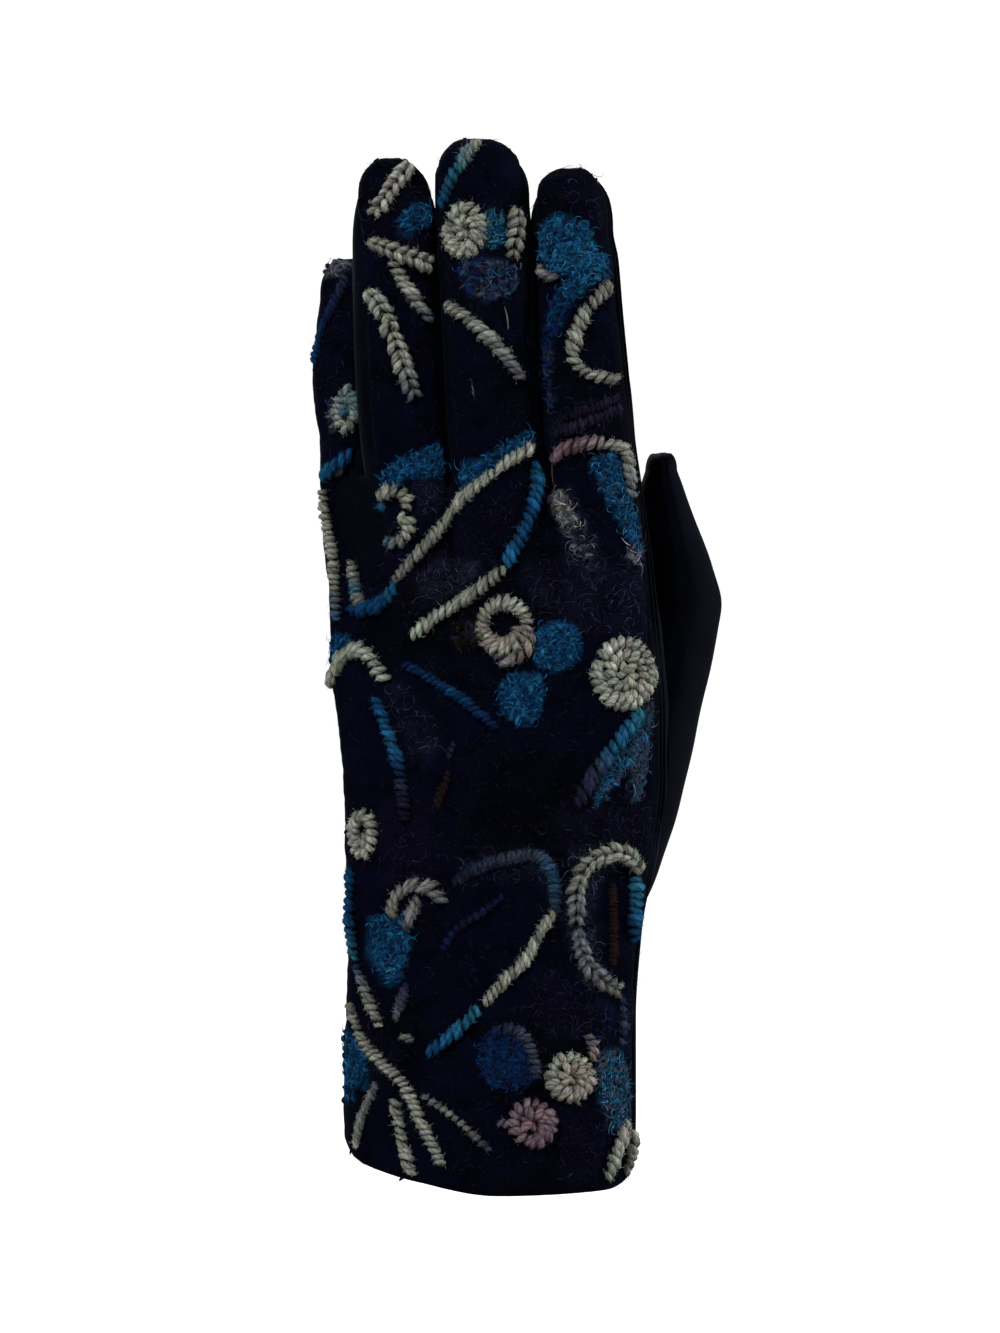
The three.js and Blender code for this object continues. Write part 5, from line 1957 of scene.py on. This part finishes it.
    def press(self, sheet: Sheet, points: Array, left: str, right: str) -> Array:
        """Presses a strip's two runs flat on each other where the fingers touch.

        Args:
            sheet: The strip.
            points: Its outer and inner points.
            left: The finger on the left of it.
            right: The finger on the right of it.

        Returns:
            The points, none past the plane between the two fingers.
        """
        z = points[:, 2]
        sides = []
        for name, angle in ((left, 0.0), (right, 180.0)):
            finger = self.form.fingers[name]
            at = np.clip(finger.rise(np.clip(z, CROTCH_Z, finger.cap_z)), 0, 1)
            sides.append(finger.point(np.full(len(z), angle), at)[:, 0])
        middle = (sides[0] + sides[1]) / 2
        pressed = points.copy()
        owners = np.array([key[0] for key in sheet.by_key] * 2)
        free = (z > CROTCH_Z + WEB_RISE + 1) & (left != "little")
        for owner, limit in ((left, np.minimum), (right, np.maximum)):
            mine = (owners == owner) & free
            pressed[mine, 0] = limit(pressed[mine, 0], middle[mine])
        return pressed

    def build_embroidery(self) -> None:
        """Sews the cords, rosettes and patches."""
        work = Embroidery(self.cloth)
        for motif in MOTIFS:
            work.sew_cord(motif)
        for patch in PATCHES:
            work.sew_patch(patch)
        work.scatter(count=1100)
        for start, end, dye in THREADS:
            work.lay_thread(start, end, dye)
        for yarn, stitches in (
            (Yarn("rope_stitches", 10, 7), work.cords),
            (Yarn("knot_stitches", 6, 5), work.knots),
            (Yarn("tangle_stitches", 5, 4), work.tangle),
        ):
            yarn.mesh(stitches, self.yarn)
        self.work = work

    def build_hairs(self) -> None:
        """Makes the hairs that the stitches shed: long curved ones, and short straight nap."""
        # The piece, the stitches that shed it, and how many hairs each of them sheds
        for fibres, stitches, amount in (
            (Fibres("rope_hairs", 3), self.work.cords, 5.6),
            (Fibres("knot_hairs", 3), self.work.knots, 2.5),
            (Fibres("rope_nap", 1), self.work.cords, 38.0),
            (Fibres("knot_nap", 1), self.work.knots, 12.0),
        ):
            for stitch in stitches:
                for _ in range(RNG.poisson(amount * stitch.fuzz)):
                    fibres.hairs.append(self.shed(stitch, fibres.joints > 1))
            fibres.mesh(self.hair)

    def shed(self, stitch: Stitch, long: bool) -> Hair:
        """One hair out of a stitch.

        Args:
            stitch: The stitch.
            long: False for the short nap.

        Returns:
            The hair.
        """
        centre, axis, normal, (reach, thick, _, arch), colour, _ = stitch
        along = RNG.uniform(-0.48, 0.48)
        side = unit(RNG.normal(size=3) + normal * 0.5)
        side = unit(side - axis * (side @ axis) * 0.8)
        rise = arch * (1 - 4 * along * along)
        root = centre + axis * reach * along + normal * rise + side * thick * 0.78
        way = unit(side * 0.55 + RNG.normal(size=3) * 0.5 + axis * RNG.normal(0, 0.5))
        length = 0.7 + 1.3 * RNG.random() ** 2 if long else 0.4 + 0.6 * RNG.random()
        # Painted shade: hairs that leave the stitch's lower side, towards the cloth, are painted darker than
        # those from its top.
        glow = 0.45 + 0.55 * max(side @ normal, 0)
        return Hair(root, way, normal, length, 0.03 if long else 0.04, uneven(colour * glow, 0.35))

    def facing(self, least: float, count: int) -> Iterator[tuple[Array, Array]]:
        """Random points of the cloth that face the front, with their normals."""
        points, normals = self.cloth.points, self.cloth.normals
        for v in RNG.choice(np.flatnonzero((normals[:, 1] < -least) & (points[:, 2] > 3)), count):
            yield points[v], normals[v]

    def build_curls(self) -> None:
        """Makes the strands that curl along the ground and, higher and with painted light that makes them
        brighter than the knots below, on the patches.
        """
        strands = Fibres("curled_strands", 5, True)
        for haze in HAZES:
            for place, normal in self.cloth.spots(haze.patch(1.75)):
                dye = pick(haze.dyes).rgb
                way = any_way(normal)
                length = 3.0 + 2.5 * RNG.random()
                colour = uneven(dye * 0.68, 0.5)
                strands.hairs.append(Hair(place + normal * 0.1, way, normal, length, 0.095, colour))
        for patch in PATCHES:
            for place, normal in self.cloth.spots(patch):
                dye = pick(patch.dyes).rgb
                way = any_way(normal)
                lift = 0.5 + 0.35 * RNG.random()
                length = 2.2 + 1.6 * RNG.random()
                # Painted light: the patch strands are painted brighter than their dye, as the lit top layer
                # over the knots.
                colour = uneven(dye * 1.1, 0.36)
                strands.hairs.append(Hair(place + normal * lift, way, normal, length, 0.1, colour))
        shades = (SLATE.rgb * 0.16, PURPLE.rgb * 0.7, NAVY.rgb * 1.6, VIOLET.rgb * 0.25)
        for place, normal in self.facing(least=0.45, count=1500):
            colour = uneven(pick(shades), 0.45)
            way = any_way(normal)
            length = 3.0 + 2.5 * RNG.random()
            strands.hairs.append(Hair(place + normal * 0.08, way, normal, length, 0.1, colour))
        strands.mesh(self.hair)

    def build_ground_hairs(self) -> None:
        """Makes the hairs that stand out of the ground, more of them where it is hazed."""
        fibres = Fibres("ground_hairs", 3)
        for haze in HAZES:
            for place, normal in self.cloth.spots(haze.patch(1.5)):
                colour = uneven(pick(haze.dyes).rgb * 0.7, 0.5)
                way = any_way(normal, 0.25)
                fibres.hairs.append(Hair(place, way, normal, 1.0 + 1.8 * RNG.random(), 0.036, colour))
        for place, normal in self.facing(least=0.15, count=2600):
            colour = uneven(SLATE.rgb * 0.08, 0.8)
            way = any_way(normal, 0.25)
            fibres.hairs.append(Hair(place, way, normal, 0.8 + 1.3 * RNG.random(), 0.034, colour))
        fibres.mesh(self.hair)

    def build(self) -> None:
        """Makes every piece."""
        self.camera.build()
        self.find_thumb_root()
        self.build_back()
        self.build_palm()
        self.build_welt()
        self.build_thumb()
        self.build_strips()
        self.build_embroidery()
        self.build_hairs()
        self.build_curls()
        self.build_ground_hairs()


@dataclass
class Studio:
    """A pale round floor that curves up into its backdrop, and soft lights."""

    floor_z: float = -0.045
    flat_radius: float = 2.4
    wall_radius: float = 3.2
    wall_height: float = 3.0

    def build(self) -> None:
        """Makes the floor, the lights and the surroundings."""
        self.build_floor()
        self.light("key", (-0.7, -1.1, 1.35), 0.3, 23.0)
        self.light("fill", (1.0, -1.5, 0.3), 0.9, 1.5)
        self.light("side", (1.6, 0.0, 0.5), 0.8, 20.0)
        self.light("rear", (-0.5, 1.5, 1.1), 0.7, 18.0)
        world = bpy.data.worlds.new("studio")
        world.use_nodes = True
        sky = world.node_tree.nodes["Background"]
        sky.inputs["Color"].default_value = (1, 1, 1, 1)
        sky.inputs["Strength"].default_value = 0.06
        bpy.context.scene.world = world
        bpy.context.scene.view_settings.view_transform = "Standard"

    def build_floor(self) -> None:
        """Makes the round floor."""
        sides = 96
        turns = np.linspace(0, math.tau, sides, endpoint=False)
        bend = np.linspace(0, math.pi / 2, 12)
        reach = self.wall_radius - self.flat_radius
        radii = np.concatenate([[0.5, 1.2], self.flat_radius + reach * np.sin(bend), [self.wall_radius]])
        heights = np.concatenate([[0, 0], reach * (1 - np.cos(bend)), [self.wall_height]])
        points = [(0.0, 0.0, self.floor_z)]
        for radius, height in zip(radii, heights, strict=True):
            points += [(radius * math.cos(t), radius * math.sin(t), self.floor_z + height) for t in turns]
        faces = [(0, 1 + i, 1 + (i + 1) % sides) for i in range(sides)]
        faces += band_faces(len(radii), sides, 1, True)
        mesh = bpy.data.meshes.new("floor")
        mesh.from_pydata(points, [], faces)
        mesh.shade_smooth()
        material = bpy.data.materials.new("pale floor")
        material.use_nodes = True
        nodes = Nodes(material.node_tree)
        surface = material.node_tree.nodes["Principled BSDF"]
        surface.inputs["Base Color"].default_value = (0.5, 0.5, 0.5, 1)
        surface.inputs["Roughness"].default_value = 0.9
        glow = nodes.add("ShaderNodeEmission", {"Color": (1, 1, 1, 1), "Strength": 0.9})
        seen = nodes.add("ShaderNodeLightPath").outputs["Is Camera Ray"]
        paper = nodes.add("ShaderNodeAddShader", {0: surface.outputs[0], 1: glow.outputs[0]})
        mixed = nodes.add("ShaderNodeMixShader", {0: seen, 1: surface.outputs[0], 2: paper.outputs[0]})
        end = material.node_tree.nodes["Material Output"]
        material.node_tree.links.new(mixed.outputs[0], end.inputs["Surface"])
        mesh.materials.append(material)
        floor = bpy.data.objects.new("floor", mesh)
        show(floor)
        floor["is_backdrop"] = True

    def light(self, name: str, place: tuple[float, float, float], size: float, power: float) -> None:
        """Adds a soft light that faces the glove.

        Args:
            name: The light's name.
            place: Where it stands, in metres.
            size: How wide it is.
            power: How strong it is, in watts.
        """
        data = bpy.data.lights.new(name, "AREA")
        data.size = size
        data.energy = power
        lamp = bpy.data.objects.new(name, data)
        lamp.location = place
        aim = Vector((0, 0, 0.12)) - Vector(place)
        lamp.rotation_euler = aim.to_track_quat("-Z", "Y").to_euler()
        show(lamp)


def corners(box: tuple[Vector, Vector]) -> list[list[float]]:
    """A box's corners as plain lists."""
    return [list(corner) for corner in box]


def main() -> None:
    """Builds the glove and its studio."""
    logging.basicConfig(level=logging.INFO, format="%(name)s: %(message)s")
    Glove().build()
    Studio().build()
    boxes = {"cad": corners(CAD_BOX), "visual": corners(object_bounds())}
    LOG.info("boxes: %s", boxes)


if __name__ == "__main__":
    main()
